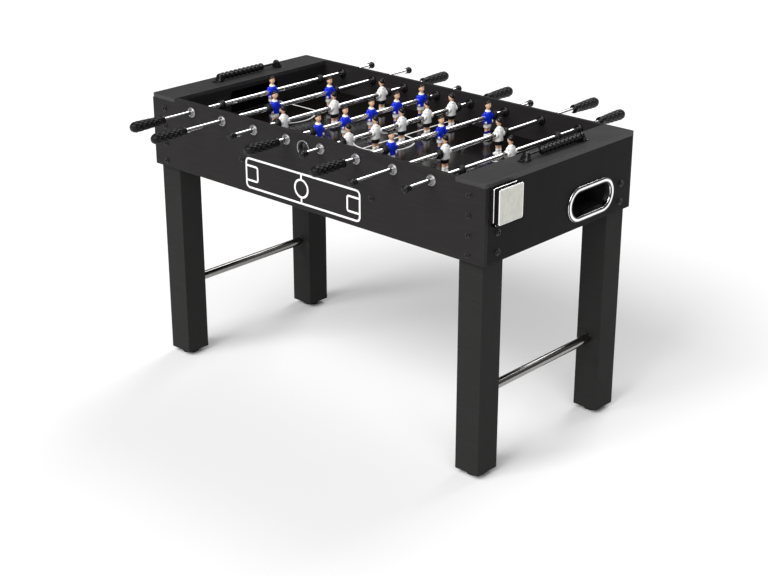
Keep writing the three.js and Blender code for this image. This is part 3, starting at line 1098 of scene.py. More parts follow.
@dataclass
class PitchLines:
    """White lines on the playing field."""

    line: float = 5.0
    paint: float = 0.25
    circle: float = 84.0
    box_line: float = 350.0
    box_half: float = 94.0
    arc_centre: float = 405.0
    arc_radius: float = 97.0

    def build(self) -> bpy.types.Object:
        """Draws the centre line and circle, and at each end a goal area and the arc in front of it.

        Returns:
            The lines as one piece.
        """
        _, high = box_of("playfield")
        sheet = Sheet((0, 0, high[2]), (1, 0, 0), (0, 1, 0))
        half = high[1] - 1
        goal = high[0] - 1
        clear = self.line / 2
        where = self.arc_centre - self.box_line + clear
        opening = math.degrees(math.acos(where / self.arc_radius))
        paths = [stroke((0, -half), (0, -self.circle - clear)), stroke((0, self.circle + clear), (0, half))]
        paths.append(stroke((0, -self.circle + clear), (0, self.circle - clear)))
        for side in (-1, 1):
            front = side * self.box_line
            paths.append(stroke((front, -self.box_half), (front, self.box_half)))
            for y in (-self.box_half, self.box_half):
                edge = y + math.copysign(clear, y)
                paths.append(stroke((side * (self.box_line - clear), edge), (side * goal, edge)))
            middle = 180 if side > 0 else 0
            centre = (side * self.arc_centre, 0)
            paths.append(bow(centre, self.arc_radius, middle - opening, middle + opening))
        lines = [ribbon(path, self.line, self.paint, sheet) for path in paths]
        circle = bow((0, 0), self.circle, 0, 360, 96)[:-1]
        lines.append(ribbon(circle, self.line, self.paint, sheet, ring=True))
        return make_piece("pitch_lines", Surface.joined(lines), Role("root", "field_board"), [LINE_PAINT])


@dataclass
class PanelDrawing:
    """A plain line drawing of a pitch, painted on the front panel."""

    centre_x: float = -12.0
    half_length: float = 212.0
    half_height: float = 41.0
    above_bottom: float = 57.0
    line: float = 5.5
    paint: float = 0.2
    circle: float = 24.0
    goal_area: float = 44.0

    def build(self) -> bpy.types.Object:
        """Draws the outline, the halfway line, the circle and the two goal areas.

        Returns:
            The drawing as one piece.
        """
        low, _ = box_of("side_panel_front")
        sheet = Sheet((self.centre_x, low[1], low[2] + self.above_bottom), (1, 0, 0), (0, 0, 1))
        long, high, clear = self.half_length, self.half_height, self.line / 2
        corners = [(-long, -high), (long, -high), (long, high), (-long, high)]
        lines = [
            ribbon(filleted(corners, 14, ring=True, steps=8), self.line, self.paint, sheet, ring=True),
            ribbon(bow((0, 0), self.circle, 0, 360, 72)[:-1], self.line, self.paint, sheet, ring=True),
            ribbon(stroke((0, clear - high), (0, -self.circle - clear)), self.line, self.paint, sheet),
            ribbon(stroke((0, self.circle + clear), (0, high - clear)), self.line, self.paint, sheet),
        ]
        for side in (-1, 1):
            inner = side * (long - self.goal_area)
            area = [(side * (long - clear), -high / 2), (inner, -high / 2), (inner, high / 2)]
            area.append((side * (long - clear), high / 2))
            lines.append(ribbon(filleted(area, 6), self.line, self.paint, sheet))
        role = Role("root", "cabinet_board")
        return make_piece("panel_drawing", Surface.joined(lines), role, [PANEL_PAINT])


# ---- fasteners -----------------------------------------------------------------------------------
@dataclass(frozen=True)
class Bolt:
    """A socket-head bolt on a washer."""

    washer: float = 9.4
    washer_height: float = 1.4
    head: float = 6.2
    height: float = 4.6
    socket: float = 3.1
    socket_depth: float = 2.8
    sides: int = 36

    def surface(self, axis: Axis, at: Point) -> Surface:
        """The bolt's head: turned rows, except that the socket's rows are hexagons.

        A hexagon's radius at an angle is its flat distance over the cosine of the angle from the
        nearest flat's middle.

        Args:
            axis: the direction that the head looks.
            at: where its washer sits.

        Returns:
            The closed surface.
        """
        around = angles(self.sides)
        flat = self.socket / np.cos((around + math.pi / 6) % (math.pi / 3) - math.pi / 6)
        seat = self.washer_height
        outline = [(0, 0), (self.washer, 0), (self.washer, seat), (self.head, seat)]
        outline += [(self.head, self.height), (self.socket + 0.6, self.height)]
        eased = filleted(outline[1:], 0.45, steps=3)
        rows = [(0.0, 0.0), *map(tuple, eased)]
        radius = np.array([r * np.ones(self.sides) for r, _ in rows] + [flat, flat, 0 * flat])
        floor = self.height - self.socket_depth
        along = np.array([h for _, h in rows] + [self.height, floor, floor])[:, None] + 0 * radius
        points = axis.place(radius * np.cos(around), radius * np.sin(around), along)
        return Surface.grid(points).moved(*at)


@dataclass
class CabinetBolts:
    """The bolts through the side and end panels into the legs, and into the field battens."""

    leg_x: float = 559.0
    side_heights: tuple[float, ...] = (763.0, 711.5, 661.5, 610.0)
    batten_x: float = 241.0
    batten_height: float = 681.0
    leg_y: float = 254.7
    end_heights: tuple[float, ...] = (668.0, 618.0)

    def build(self) -> None:
        """Makes one piece of bolts for each panel."""
        for side, axis in (("front", Axis.MINUS_Y), ("back", Axis.Y)):
            low, high = box_of(f"side_panel_{side}")
            face = low[1] if side == "front" else high[1]
            places = [(x, face, z) for x in (-self.leg_x, self.leg_x) for z in self.side_heights]
            places += [(x, face, self.batten_height) for x in (-self.batten_x, self.batten_x)]
            self._panel(f"bolts_{side}", axis, places)
        for end, axis in (("left", Axis.MINUS_X), ("right", Axis.X)):
            low, high = box_of(f"end_panel_{end}")
            face = low[0] if end == "left" else high[0]
            places = [(face, y, z) for y in (-self.leg_y, self.leg_y) for z in self.end_heights]
            self._panel(f"bolts_{end}", axis, places)

    def _panel(self, name: str, axis: Axis, places: Sequence[Point]) -> None:
        """Makes the bolts of one panel."""
        bolts = Surface.joined([Bolt().surface(axis, place) for place in places])
        make_piece(name, bolts, Role("root", "black_plastic"), [BLACK_STEEL])


# ---- legs ----------------------------------------------------------------------------------------
@dataclass
class Legs:
    """Four square legs on round levelling feet, and the tube between the two legs of each end."""

    nodes: dict[str, bpy.types.Object]
    edge: float = 1.6
    tube_wall: float = 1.2
    collar: float = 2.4
    collar_length: float = 2.2
    stem: float = 4.7

    def build(self) -> None:
        """Makes the legs, their feet and the two tubes."""
        for end in ("left", "right"):
            for side in ("front", "back"):
                corner = f"{side}_{end}"
                Board(f"leg_{corner}", "leg_board", LEG_FOIL, self.edge).build(self.nodes)
                self._foot(corner)
            self._tube(end)

    def _foot(self, corner: str) -> None:
        """A turned foot: ribbed rubber tread, waist and metal stem, from the axis down and back to it.

        Args:
            corner: the side and the end of the leg, as in the name of its node.
        """
        low, high = box_of(f"leveller_{corner}")
        radius = (high[0] - low[0]) / 2
        tread = filleted(
            [(0, 0.8), (radius - 4, 0.8), (radius - 3.2, 0), (radius - 1, 0), (radius, 2), (radius, 6.5)]
            + [(radius - 1.2, 7.5), (radius - 1.2, 8.5), (radius - 4, 12.7), (self.stem, 12.7)],
            1.0,
            steps=3,
        )
        rows = np.concatenate([tread, [(self.stem, high[2]), (0, high[2])]])
        coats = np.zeros(len(rows) - 1, int)
        coats[len(tread) - 1 :] = 1
        foot = lathed(rows, Axis.Z, 56, coats).moved((low[0] + high[0]) / 2, (low[1] + high[1]) / 2)
        node = f"leveller_{corner}"
        make_piece(f"foot_{corner}", foot, Role(node, "black_plastic", (node,)), [FOOT_RUBBER, BLACK_STEEL])

    def _tube(self, end: str) -> None:
        """A plated tube with its wall turned in at both ends, where it seats against the legs.

        Args:
            end: left or right.
        """
        node = f"leg_tube_{end}"
        low, high = box_of(node)
        radius = (high[0] - low[0]) / 2
        bore = radius - self.tube_wall
        outline = [(bore, low[1]), (radius, low[1]), (radius, high[1]), (bore, high[1])]
        inside, seat = radius - 0.3, radius + self.collar
        eased = filleted(outline, 0.6, ring=True)
        parts = [lathed(eased, Axis.Y, 64, ring=True)]
        for y0, y1 in ((low[1], low[1] + self.collar_length), (high[1] - self.collar_length, high[1])):
            collar = filleted([(inside, y0), (seat, y0), (seat, y1), (inside, y1)], 0.7, ring=True)
            parts.append(lathed(collar, Axis.Y, 64, 1, ring=True))
        middle = (low + high) / 2
        plated = Surface.joined(parts).moved(middle[0], 0, middle[2])
        role = Role("root", "chrome_tube", (node,))
        make_piece(f"{node}_plated", plated, role, [TUBE_PLATING, BLACK_STEEL])


# ---- ball return and serve hole ------------------------------------------------------------------
@dataclass
class BallReturns:
    """The pocket in each end: its moulding, and the bright rim round its mouth."""

    nodes: dict[str, bpy.types.Object]
    length: float = 196.0
    height: float = 94.0
    rim: float = 13.0
    lift: float = 0.6
    depth: float = 16.0
    opening_y: float = 123.0
    opening_below_top: float = 144.0
    # Below this share of the height the inner lip keeps its plating; above it the lip is painted black as
    # painted shade.
    unshaded_lip_below: float = 0.28

    def build(self) -> None:
        """Keeps each moulding as modelled, in black, and adds its rim."""
        _, top = box_of("end_top_right")
        centre_z = top[2] - self.opening_below_top
        _, face = box_of("end_panel_right")
        for end in ("left", "right"):
            node = f"ball_return_{end}"
            mesh = self.nodes[node].data
            mesh.materials.clear()
            mesh.materials.append(POCKET_MOULDING.material())
            rim = self._rim().moved(face[0], self.opening_y, centre_z)
            if end == "left":
                rim = rim.half_turned()
            finishes = [RIM_PLATING, POCKET_MOULDING]
            make_piece(f"{node}_rim", rim, Role("root", "chrome_rod"), finishes, crease=60)

    def _rim(self) -> Surface:
        """A domed moulding carried round the mouth, whose inner lip turns back into the pocket.

        Where the lip turns back into the pocket it is painted in the pocket's black as painted shade, except
        along the bottom of the mouth, which keeps its plating.

        Returns:
            The rim about its middle, on the end panel's face.
        """
        inner = self.rim + 0.5
        profile = filleted(
            [(-self.lift, 0.2), (-self.lift, 2.4), (self.rim * 0.3, 4.9), (self.rim * 0.75, 4.6)]
            + [(inner, 1.5), (inner + 2.2, -self.depth), (inner - 0.6, -self.depth), (inner - 1.6, 0.2)],
            1.6,
            ring=True,
            steps=5,
        )
        height = rounded_box(self.length / 2, self.height / 2, self.height / 2, profile[:, 0])[..., 1]
        deep = (profile[:, 1] + np.roll(profile[:, 1], -1)) / 2 < 0.5
        # Painted shade: the inner lip above the bottom of the mouth takes the pocket's black.
        coats = np.where(deep[:, None] & (height > -self.height * self.unshaded_lip_below), 1, 0)
        return framed(self.length / 2, self.height / 2, self.height / 2, profile, Axis.X, coats, ring=True)


@dataclass
class ServeRing:
    """The ring that lines the hole in the front panel: a light lip round a dark throat."""

    lip: float = 2.6
    rim: float = 6.5

    def build(self) -> bpy.types.Object:
        """Turns the ring's section about the hole's axis.

        Returns:
            The ring.
        """
        low, high = box_of("serve_ring")
        middle = (low + high) / 2
        outer = (high[0] - low[0]) / 2
        bore = outer - self.rim
        front, back = -low[1], -high[1]
        outline = [(outer, front - 3.1), (outer, front), (outer - self.lip, front)]
        outline += [(outer - self.lip - 1.2, front - 1.6), (bore, front - 2.6), (bore, back)]
        outline += [(bore + 2.6, back), (bore + 2.6, front - 3.4)]
        rows = filleted(outline, 0.8, ring=True, steps=3)
        following = np.roll(rows, -1, axis=0)
        radius, along = ((rows + following) / 2).T
        light = (radius > outer - self.lip - 0.6) & (along > front - 3.3)
        ring = lathed(rows, Axis.MINUS_Y, 64, np.where(light, 0, 1), ring=True)
        return make_piece(
            "serve_hole_ring",
            ring.moved(middle[0], 0, middle[2]),
            Role("root", "grey_plastic", ("serve_ring",)),
            [GREY_MOULDING, POCKET_MOULDING],
        )


# ---- score counters ------------------------------------------------------------------------------
@dataclass
class ScoreCounter:
    """One counter: ten beads on a bar between two arched feet."""

    end: str
    beads: int = 10
    foot_length: float = 26.0
    foot_half: float = 13.0
    post: float = 10.0
    plate: float = 3.6
    bar: float = 3.0
    bar_height: float = 13.0
    screw_from_post: float = 21.0
    screw: Bolt = Bolt(
        washer=4.2, washer_height=0.5, head=3.6, height=1.6, socket=1.1, socket_depth=1.0, sides=24
    )

    def build(self) -> None:
        """Makes the rail and the beads."""
        self._rail()
        self._beads()

    def _rail(self) -> None:
        """The bar, and at each end a foot whose arched section sinks from the post to a flat plate."""
        node = f"score_rail_{self.end}"
        low, high = box_of(node)
        middle = (low + high) / 2
        top = high[2] - low[2]
        slope = np.linspace(self.post * 0.6, self.foot_length - 1, 14)
        along = np.concatenate([[0, 0.6], slope, [self.foot_length]])
        fall = np.clip((along - self.post * 0.8) / 9.0, 0, 1)
        height = self.plate + (top - self.plate) * (1 - fall * fall * (3 - 2 * fall))
        height[[0, -1]] -= 0.5
        narrow = np.where((along < 0.3) | (along > self.foot_length - 0.3), 0.6, 0.0)
        half = self.foot_half - narrow
        turn = np.linspace(0, math.pi, 25)
        arch = np.abs(np.sin(turn)) ** 0.55
        across = half[:, None] * np.cos(turn)[None] * (0.8 + 0.2 * (1 - arch))[None]
        up = height[:, None] * arch[None]
        parts = []
        for side in (-1, 1):
            start = middle[1] + side * ((high[1] - low[1]) / 2 - self.foot_length)
            rows = np.stack([across, start + side * (along[:, None] + 0 * across), up], -1)
            parts.append(Surface.grid(capped(rows)))
            place = (0, start + side * self.screw_from_post, self.plate - 0.2)
            parts.append(self.screw.surface(Axis.Z, place).painted(1))
        reach = (high[1] - low[1]) / 2 - self.foot_length + self.post / 2
        bar = lathed([(0, -reach), (self.bar, -reach), (self.bar, reach), (0, reach)], Axis.Y, 32, 1)
        parts.append(bar.moved(0, middle[1], self.bar_height))
        surface = Surface.joined(parts).moved(middle[0], 0, low[2])
        role = Role("root", "black_plastic", (node,))
        make_piece(f"score_feet_{self.end}", surface, role, [BLACK_MOULDING, BLACK_STEEL])

    def _beads(self) -> None:
        """Ten beads, each a drum with sloping shoulders, so that deep gaps part them."""
        node = f"score_beads_{self.end}"
        low, high = box_of(node)
        middle = (low + high) / 2
        radius = (high[2] - low[2]) / 2
        pitch = (high[1] - low[1]) / self.beads
        half = pitch / 2 - 0.35
        bore = self.bar + 0.3
        outline = [(bore, -half), (radius - 6.4, -half), (radius - 0.5, 4.6 - half), (radius, 0)]
        outline += [(radius - 0.5, half - 4.6), (radius - 6.4, half), (bore, half)]
        bead = lathed(filleted(outline, 1.6, ring=True), Axis.Y, 64, ring=True)
        for index in range(self.beads):
            y = low[1] + (index + 0.5) * pitch
            make_piece(
                f"score_bead_{self.end}_{index + 1}",
                bead.moved(middle[0], y, middle[2]),
                Role(node, "black_plastic", (node,)),
                [BLACK_MOULDING],
                crease=60,
            )


# ---- drink holder --------------------------------------------------------------------------------
@dataclass
class DrinkHolder:
    """The folding drink holder: a plate on the end panel, and a tray hinged at the plate's foot."""

    corner: float = 5.0
    plate: float = 4.0
    wall: float = 6.0
    face: float = 3.0
    ear: float = 4.0
    pin: float = 2.0
    knuckle: float = 4.2
    hinge_inset: float = 5.5
    hinge_height: float = 6.5

    def build(self) -> None:
        """Makes the plate with its hinge pin, and the tray."""
        low, high = box_of("drink_holder_bracket")
        tray_low, tray_high = box_of("drink_holder_tray")
        middle = (low + high) / 2
        half_y, half_z = (high[1] - low[1]) / 2, (high[2] - low[2]) / 2
        hinge_x, hinge_z = high[0] - self.hinge_inset, low[2] + self.hinge_height
        self._plate(low[0], middle, half_y, half_z, hinge_x, hinge_z)
        self._tray(tray_low, tray_high, low[0] + self.plate + 0.3, hinge_x, hinge_z)

    def _plate(
        self, x: float, middle: Array, half_y: float, half_z: float, hinge_x: float, hinge_z: float
    ) -> None:
        """The back plate with a bright edge, two ears and the pin between them.

        Args:
            x: where its back lies.
            middle: the middle of its CAD node.
            half_y: half its length.
            half_z: half its height.
            hinge_x: the hinge's place.
            hinge_z: the hinge's height.
        """
        x -= middle[0]
        profile = filleted([(0, x), (0, x + 2.2), (0.8, x + self.plate), (9, x + self.plate)], 0.6, steps=3)
        inset = np.concatenate([[(9, x)], profile])
        places = (inset[1:, 1] + inset[:-1, 1]) / 2
        edge = (np.maximum(inset[1:, 0], inset[:-1, 0]) < 1.5) & (places > x)
        coats = np.concatenate([[0], np.where(edge, 1, 0), [0]])
        parts = [framed(half_y, half_z, self.corner, inset, Axis.X, coats).moved(*middle)]
        for side in (-1, 1):
            outer = middle[1] + side * half_y
            places = sorted((outer, outer - side * self.ear))
            ear = filleted([(0, places[0]), (5.5, places[0]), (5.5, places[1]), (0, places[1])], 0.8, steps=3)
            parts.append(lathed(ear, Axis.Y, 40).moved(hinge_x, 0, hinge_z))
            flat = framed(5.2, 5.2, 1.0, [(0, 0), (0, self.ear)], Axis.Y)
            parts.append(flat.moved(hinge_x - 3.4, places[0], hinge_z))
        reach = half_y + 0.6
        pin = filleted([(0, -reach), (self.pin, -reach), (self.pin, reach), (0, reach)], 0.6, steps=3)
        parts.append(lathed(pin, Axis.Y, 32, 1).moved(hinge_x, middle[1], hinge_z))
        role = Role("root", "black_plastic", ("drink_holder_bracket",))
        make_piece("drink_holder_plate", Surface.joined(parts), role, [BLACK_MOULDING, RIM_PLATING])

    def _tray(self, low: Array, high: Array, back: float, hinge_x: float, hinge_z: float) -> None:
        """The tray: a dark shell with a recess at its back, a pearl face and a bright line round it.

        Args:
            low: lowest corner of its CAD node.
            high: highest corner.
            back: where the back of its shell lies.
            hinge_x: the hinge's place.
            hinge_z: the hinge's height.
        """
        bottom = hinge_z + 1.5
        half_y, half_z = (high[1] - low[1]) / 2, (high[2] - bottom) / 2
        middle_y, middle_z = (low[1] + high[1]) / 2, (high[2] + bottom) / 2
        front = high[0]
        floor = front - self.face
        outline = [(self.wall + 14, floor), (self.wall, floor), (self.wall, back), (0.5, back)]
        outline += [(0.5, front - 3.4), (0.0, front - 3.0), (0.0, front - 0.8), (0.8, front), (2.2, front)]
        outline += [(2.6, front - 0.45), (18, front - 0.45)]
        rows = filleted(outline, 0.5, steps=3)
        inset = (rows[1:, 0] + rows[:-1, 0]) / 2
        place = (rows[1:, 1] + rows[:-1, 1]) / 2
        bright = (place > front - 3.2) & (inset < 2.5)
        pearl = (place > front - 0.5) & (inset >= 2.5)
        coats = np.concatenate([[0], np.where(bright, 1, np.where(pearl, 2, 0)), [2]])
        shell = framed(half_y, half_z, self.corner, rows, Axis.X, coats).moved(0, middle_y, middle_z)
        inner = half_y - self.ear - 0.4
        sleeve = [(0, -inner), (self.knuckle, -inner), (self.knuckle, inner), (0, inner)]
        turned = lathed(filleted(sleeve, 0.8, steps=3), Axis.Y, 40, 0)
        parts = [shell, turned.moved(hinge_x, middle_y, hinge_z)]
        role = Role("drink_holder_tray", "pearl_metal", ("drink_holder_tray",))
        finishes = [BLACK_MOULDING, RIM_PLATING, PEARL_ENAMEL]
        make_piece("drink_holder_folding_tray", Surface.joined(parts), role, finishes)


# ---- men -----------------------------------------------------------------------------------------
class Part(IntEnum):
    """What a face of a man shows, which picks its finish."""

    SHIRT = 0
    TRIM = 1
    SHORTS = 2
    SKIN = 3
    SOCKS = 4
    SHOES = 5
    CUFFS = 6
    HAIR = 7
    FEATURES = 8


class Team(Enum):
    """The two teams: the material slot of their men, and their finishes in the order of Part."""

    FRONT = ("blue_player", SHIRT_BLUE, KIT_WHITE, KIT_WHITE, SKIN_PAINT, SOCK_BLUE, KIT_WHITE, KIT_WHITE)
    BACK = ("white_player", KIT_WHITE, KIT_WHITE, KIT_BLACK, SKIN_PAINT, KIT_WHITE, KIT_WHITE, KIT_BLACK)

    @property
    def slot(self) -> str:
        """The material slot of the team's men."""
        return self.value[0]

    @property
    def finishes(self) -> list[Finish]:
        """The team's finishes, one for each Part."""
        return [*self.value[1:], HAIR_PAINT, FEATURE_PAINT]


@dataclass(frozen=True)
class Man:
    """A moulded figure on a rod, facing +X, with the rod's axis along Y through its origin."""

    boss_radius: float = 9.0
    half_width: float = 17.0
    head_centre: Point = (0.8, 0.0, 33.0)
    head_half: Point = (8.6, 7.6, 12.0)
    hair: float = 1.3
    hairline: float = 0.22
    sides: int = 32

    def surface(self) -> Surface:
        """The whole figure, as closed shells that run into each other."""
        limbs = [shell for side in (-1, 1) for shell in (self._arm(side), self._leg(side), self._shoe(side))]
        return Surface.joined(
            [self._torso(), self._shorts(), self._boss(), self._collar(), self._neck(), self._head(), *limbs]
            + self._features()
        )

    def _torso(self) -> Surface:
        """The shirt, widest at its loose hem."""
        sections = [
            (-18.0, 8.6, 13.6, 0.0, 0.0, 0.8),
            (-17.2, 9.4, 14.4, 0.0, 0.0, 0.8),
            (-10.0, 9.6, 13.6, 0.0, 0.0, 0.8),
            (0.0, 10.2, 12.8, 0.3, 0.0, 0.8),
            (8.0, 9.9, 13.0, 0.6, 0.0, 0.85),
            (13.5, 8.2, 12.2, 0.4, 0.0, 0.9),
            (17.0, 5.6, 8.0, 0.2, 0.0, 1.0),
            (18.5, 4.0, 4.6, 0.2, 0.0, 1.0),
        ]
        return loft(sections, self.sides, 4, [(99.0, Part.SHIRT)])

    def _shorts(self) -> Surface:
        """The shorts, under the hem."""
        sections = [
            (-28.5, 7.2, 11.6, 0.0, 0.0, 0.75),
            (-27.8, 7.8, 12.3, 0.0, 0.0, 0.75),
            (-22.0, 7.8, 12.0, 0.0, 0.0, 0.75),
            (-15.0, 7.2, 11.2, 0.0, 0.0, 0.8),
        ]
        return loft(sections, self.sides, 3, [(99.0, Part.SHORTS)])

    def _boss(self) -> Surface:
        """The barrel that holds the rod.

        Returns:
            The closed surface.
        """
        half, radius = self.half_width, self.boss_radius
        outline = [(0, -half), (radius, -half), (radius, half), (0, half)]
        return lathed(filleted(outline, 1.0), Axis.Y, self.sides, Part.SHIRT)

    def _collar(self) -> Surface:
        """A folded collar, lower in front, where its points come down over the chest.

        Its height falls with the cosine of the angle from the front, and its points are a narrow
        bump on that fall.

        Returns:
            The closed ring.
        """
        around = angles(48)
        front = np.clip(np.cos(around), 0, 1) ** 6
        profile = filleted([(4.6, 20.5), (5.4, 21.3), (8.8, 16.6), (8.2, 15.6), (4.6, 17.5)], 0.5, ring=True)
        radius, height = profile[:, :1], profile[:, 1:]
        outer = np.clip((radius - 5.0) / 3.5, 0, 1)
        r = radius + 0 * around
        z = height - 1.2 * np.cos(around) - 4.6 * outer * front
        x = r * np.cos(around) * (0.88 + 0.16 * outer * front) + 0.4
        points = np.stack([x, r * np.sin(around) * 1.02, z], -1)
        return Surface.grid(points, Part.TRIM, ring=True)

    def _neck(self) -> Surface:
        """The neck."""
        sections = [
            (15.0, 4.4, 4.4, 0.2, 0.0, 1.0),
            (20.0, 4.0, 4.1, 0.2, 0.0, 1.0),
            (26.0, 4.4, 4.4, 0.2, 0.0, 1.0),
        ]
        return loft(sections, 24, 3, [(99.0, Part.SKIN)])

    def _head(self) -> Surface:
        """The head: an ellipsoid that narrows to the chin, with a nose and two ears raised on it.

        Hair is the part that looks up and back; it stands proud of the skin by its thickness.

        Returns:
            The closed surface.
        """
        polar = np.linspace(-math.pi / 2, math.pi / 2, 31)[:, None]
        turn = angles(40)[None, :]
        x, y = np.cos(polar) * np.cos(turn), np.cos(polar) * np.sin(turn)
        z = np.sin(polar) + 0 * turn
        jaw = 1 - 0.34 * np.clip(-z, 0, 1) ** 1.5
        nose = 1.5 * np.exp(-((y / 0.16) ** 2) - ((z + 0.08) / 0.2) ** 2) * (x > 0)
        ears = 1.4 * np.exp(-((x + 0.05) / 0.2) ** 2 - ((z + 0.05) / 0.24) ** 2) * np.sign(y)
        covered = z * 0.92 - x * 0.38
        hair = self.hair / (1 + np.exp(-(covered - self.hairline) / 0.03))
        grow = 1 + hair / 9.0
        half = np.array(self.head_half)
        points = np.stack(
            [
                half[0] * x * grow * (0.9 + 0.1 * jaw) + nose + 0.8 * np.clip(-z, 0, 1),
                half[1] * y * grow * jaw + ears,
                half[2] * z * (1 + hair / 12.0 * (z > 0)),
            ],
            -1,
        )
        middle = (covered[1:] + covered[:-1]) / 2
        middle = (middle + np.roll(middle, -1, axis=1)) / 2
        coats = np.where(middle > self.hairline, Part.HAIR, Part.SKIN)
        return Surface.grid(points + np.array(self.head_centre), coats)

    def _features(self) -> list[Surface]:
        """Two eyes, two brows and a mouth, each a small raised mark on the face.

        Returns:
            The marks.
        """
        marks = [ellipsoid((8.6, 0.0, 26.6), (0.6, 1.9, 0.45), Part.FEATURES)]
        for side in (-1, 1):
            marks.append(ellipsoid((8.3, side * 2.9, 34.2), (0.7, 0.95, 0.75), Part.FEATURES))
            marks.append(ellipsoid((8.3, side * 3.0, 36.4), (0.6, 1.7, 0.4), Part.HAIR))
        return marks

    def _arm(self, side: int) -> Surface:
        """An arm from the shoulder to a hand on the hip, in a long sleeve with a cuff.

        Args:
            side: -1 or 1, the side of the body along Y.

        Returns:
            The closed surface.
        """
        knots = [
            (0.0, 11.0, 14.0, 3.2),
            (-0.5, 13.2, 9.5, 4.2),
            (-1.5, 15.0, 1.5, 4.0),
            (0.8, 15.0, -6.0, 3.8),
            (3.6, 14.2, -11.0, 3.7),
            (4.6, 13.8, -12.6, 3.9),
            (5.4, 13.4, -14.0, 3.3),
            (6.6, 12.9, -17.0, 2.6),
        ]
        curve = through(knots, 4)
        path = curve[:, :3] * np.array([1, side, 1])
        middle = np.concatenate([curve[:1, 2], (curve[1:, 2] + curve[:-1, 2]) / 2, curve[-1:, 2]])
        coats = np.select([middle > -11.0, middle > -14.0], [Part.SHIRT, Part.CUFFS], Part.SKIN)
        return tube(path, curve[:, 3], 20, coats)

    def _leg(self, side: int) -> Surface:
        """A leg: thigh, bare knee and sock.

        Args:
            side: -1 or 1, the side of the body along Y.

        Returns:
            The closed surface.
        """
        y = side * 5.3
        sections = [
            (-53.0, 3.8, 3.9, 0.0, y, 1.0),
            (-48.5, 3.9, 4.0, 0.0, y, 1.0),
            (-43.5, 5.0, 4.9, -0.5, y, 1.0),
            (-40.0, 4.9, 4.9, -0.4, y, 1.0),
            (-39.4, 4.4, 4.4, -0.2, y, 1.0),
            (-34.0, 4.6, 4.5, 0.4, y, 1.0),
            (-24.0, 5.8, 5.4, 0.0, y, 1.0),
        ]
        return loft(sections, 24, 4, [(-39.5, Part.SOCKS), (99.0, Part.SKIN)])

    def _shoe(self, side: int) -> Surface:
        """A shoe with a blunt toe, which meets its fellow in the middle.

        Args:
            side: -1 or 1, the side of the body along Y.

        Returns:
            The closed surface.
        """
        y = side * 5.4
        sections = [
            (-56.0, 8.6, 5.0, 3.2, y, 0.55),
            (-55.2, 9.4, 5.5, 3.2, y, 0.55),
            (-52.0, 9.2, 5.4, 3.0, y, 0.65),
            (-49.0, 6.4, 5.0, 1.0, y, 0.8),
            (-46.6, 4.6, 4.7, 0.0, y, 1.0),
        ]
        return loft(sections, 28, 4, [(99.0, Part.SHOES)])


# ---- player rods ---------------------------------------------------------------------------------
@dataclass(frozen=True)
class Grip:
    """A rubber grip: a collar at the rod, a waist, and a ribbed swell that ends in a dome."""

    length: float = 112.0
    outline: tuple[tuple[float, float], ...] = (
        (0, 0),
        (12.5, 0),
        (12.5, 9),
        (11.0, 13.5),
        (12.9, 45),
        (14.3, 88),
        (13.9, 103),
        (9.0, 110.6),
        (0, 112),
    )
    ribs: int = 9
    rib_length: float = 9.4
    rib_height: float = 1.7
    ribbed_from: float = 17.0
    ribbed_to: float = 101.6
    columns: int = 108

    def surface(self, start: float, side: float) -> Surface:
        """The grip from its collar outwards.

        The radius is the outline's plus a rib: a rounded ridge along the grip, cut into short lengths
        and set off by half a rib from one ring to the next.

        Args:
            start: the collar's place along Y.
            side: 1 for a grip that points to +Y and -1 for one that points to -Y.

        Returns:
            The closed surface, about the rod's axis.
        """
        eased = filleted(self.outline, 2.6, steps=6)
        step = np.maximum(np.hypot(*np.diff(eased, axis=0).T), 1e-6)
        run = np.concatenate([[0], np.cumsum(step)])
        samples = np.unique(np.concatenate([run, np.linspace(0, run[-1], 135)]))
        radius, along = np.interp(samples, run, eased[:, 0]), np.interp(samples, run, eased[:, 1])
        ring, within = np.divmod((along - self.ribbed_from) / self.rib_length, 1.0)
        inside = (along > self.ribbed_from) & (along < self.ribbed_to) & (radius > 8)
        length = np.where(inside, np.clip(np.sin(math.pi * within), 0, 1) ** 0.6, 0.0)
        around = angles(self.columns)[None, :]
        ridge = np.clip(0.5 + 0.9 * np.cos(self.ribs * around + math.pi * ring[:, None]), 0, 1) ** 0.8
        r = radius[:, None] + self.rib_height * (length[:, None] * ridge - 0.35 * inside[:, None])
        y = start + side * (along[:, None] + 0 * around)
        return Surface.grid(Axis.Y.place(r * np.cos(around), r * np.sin(around), y))


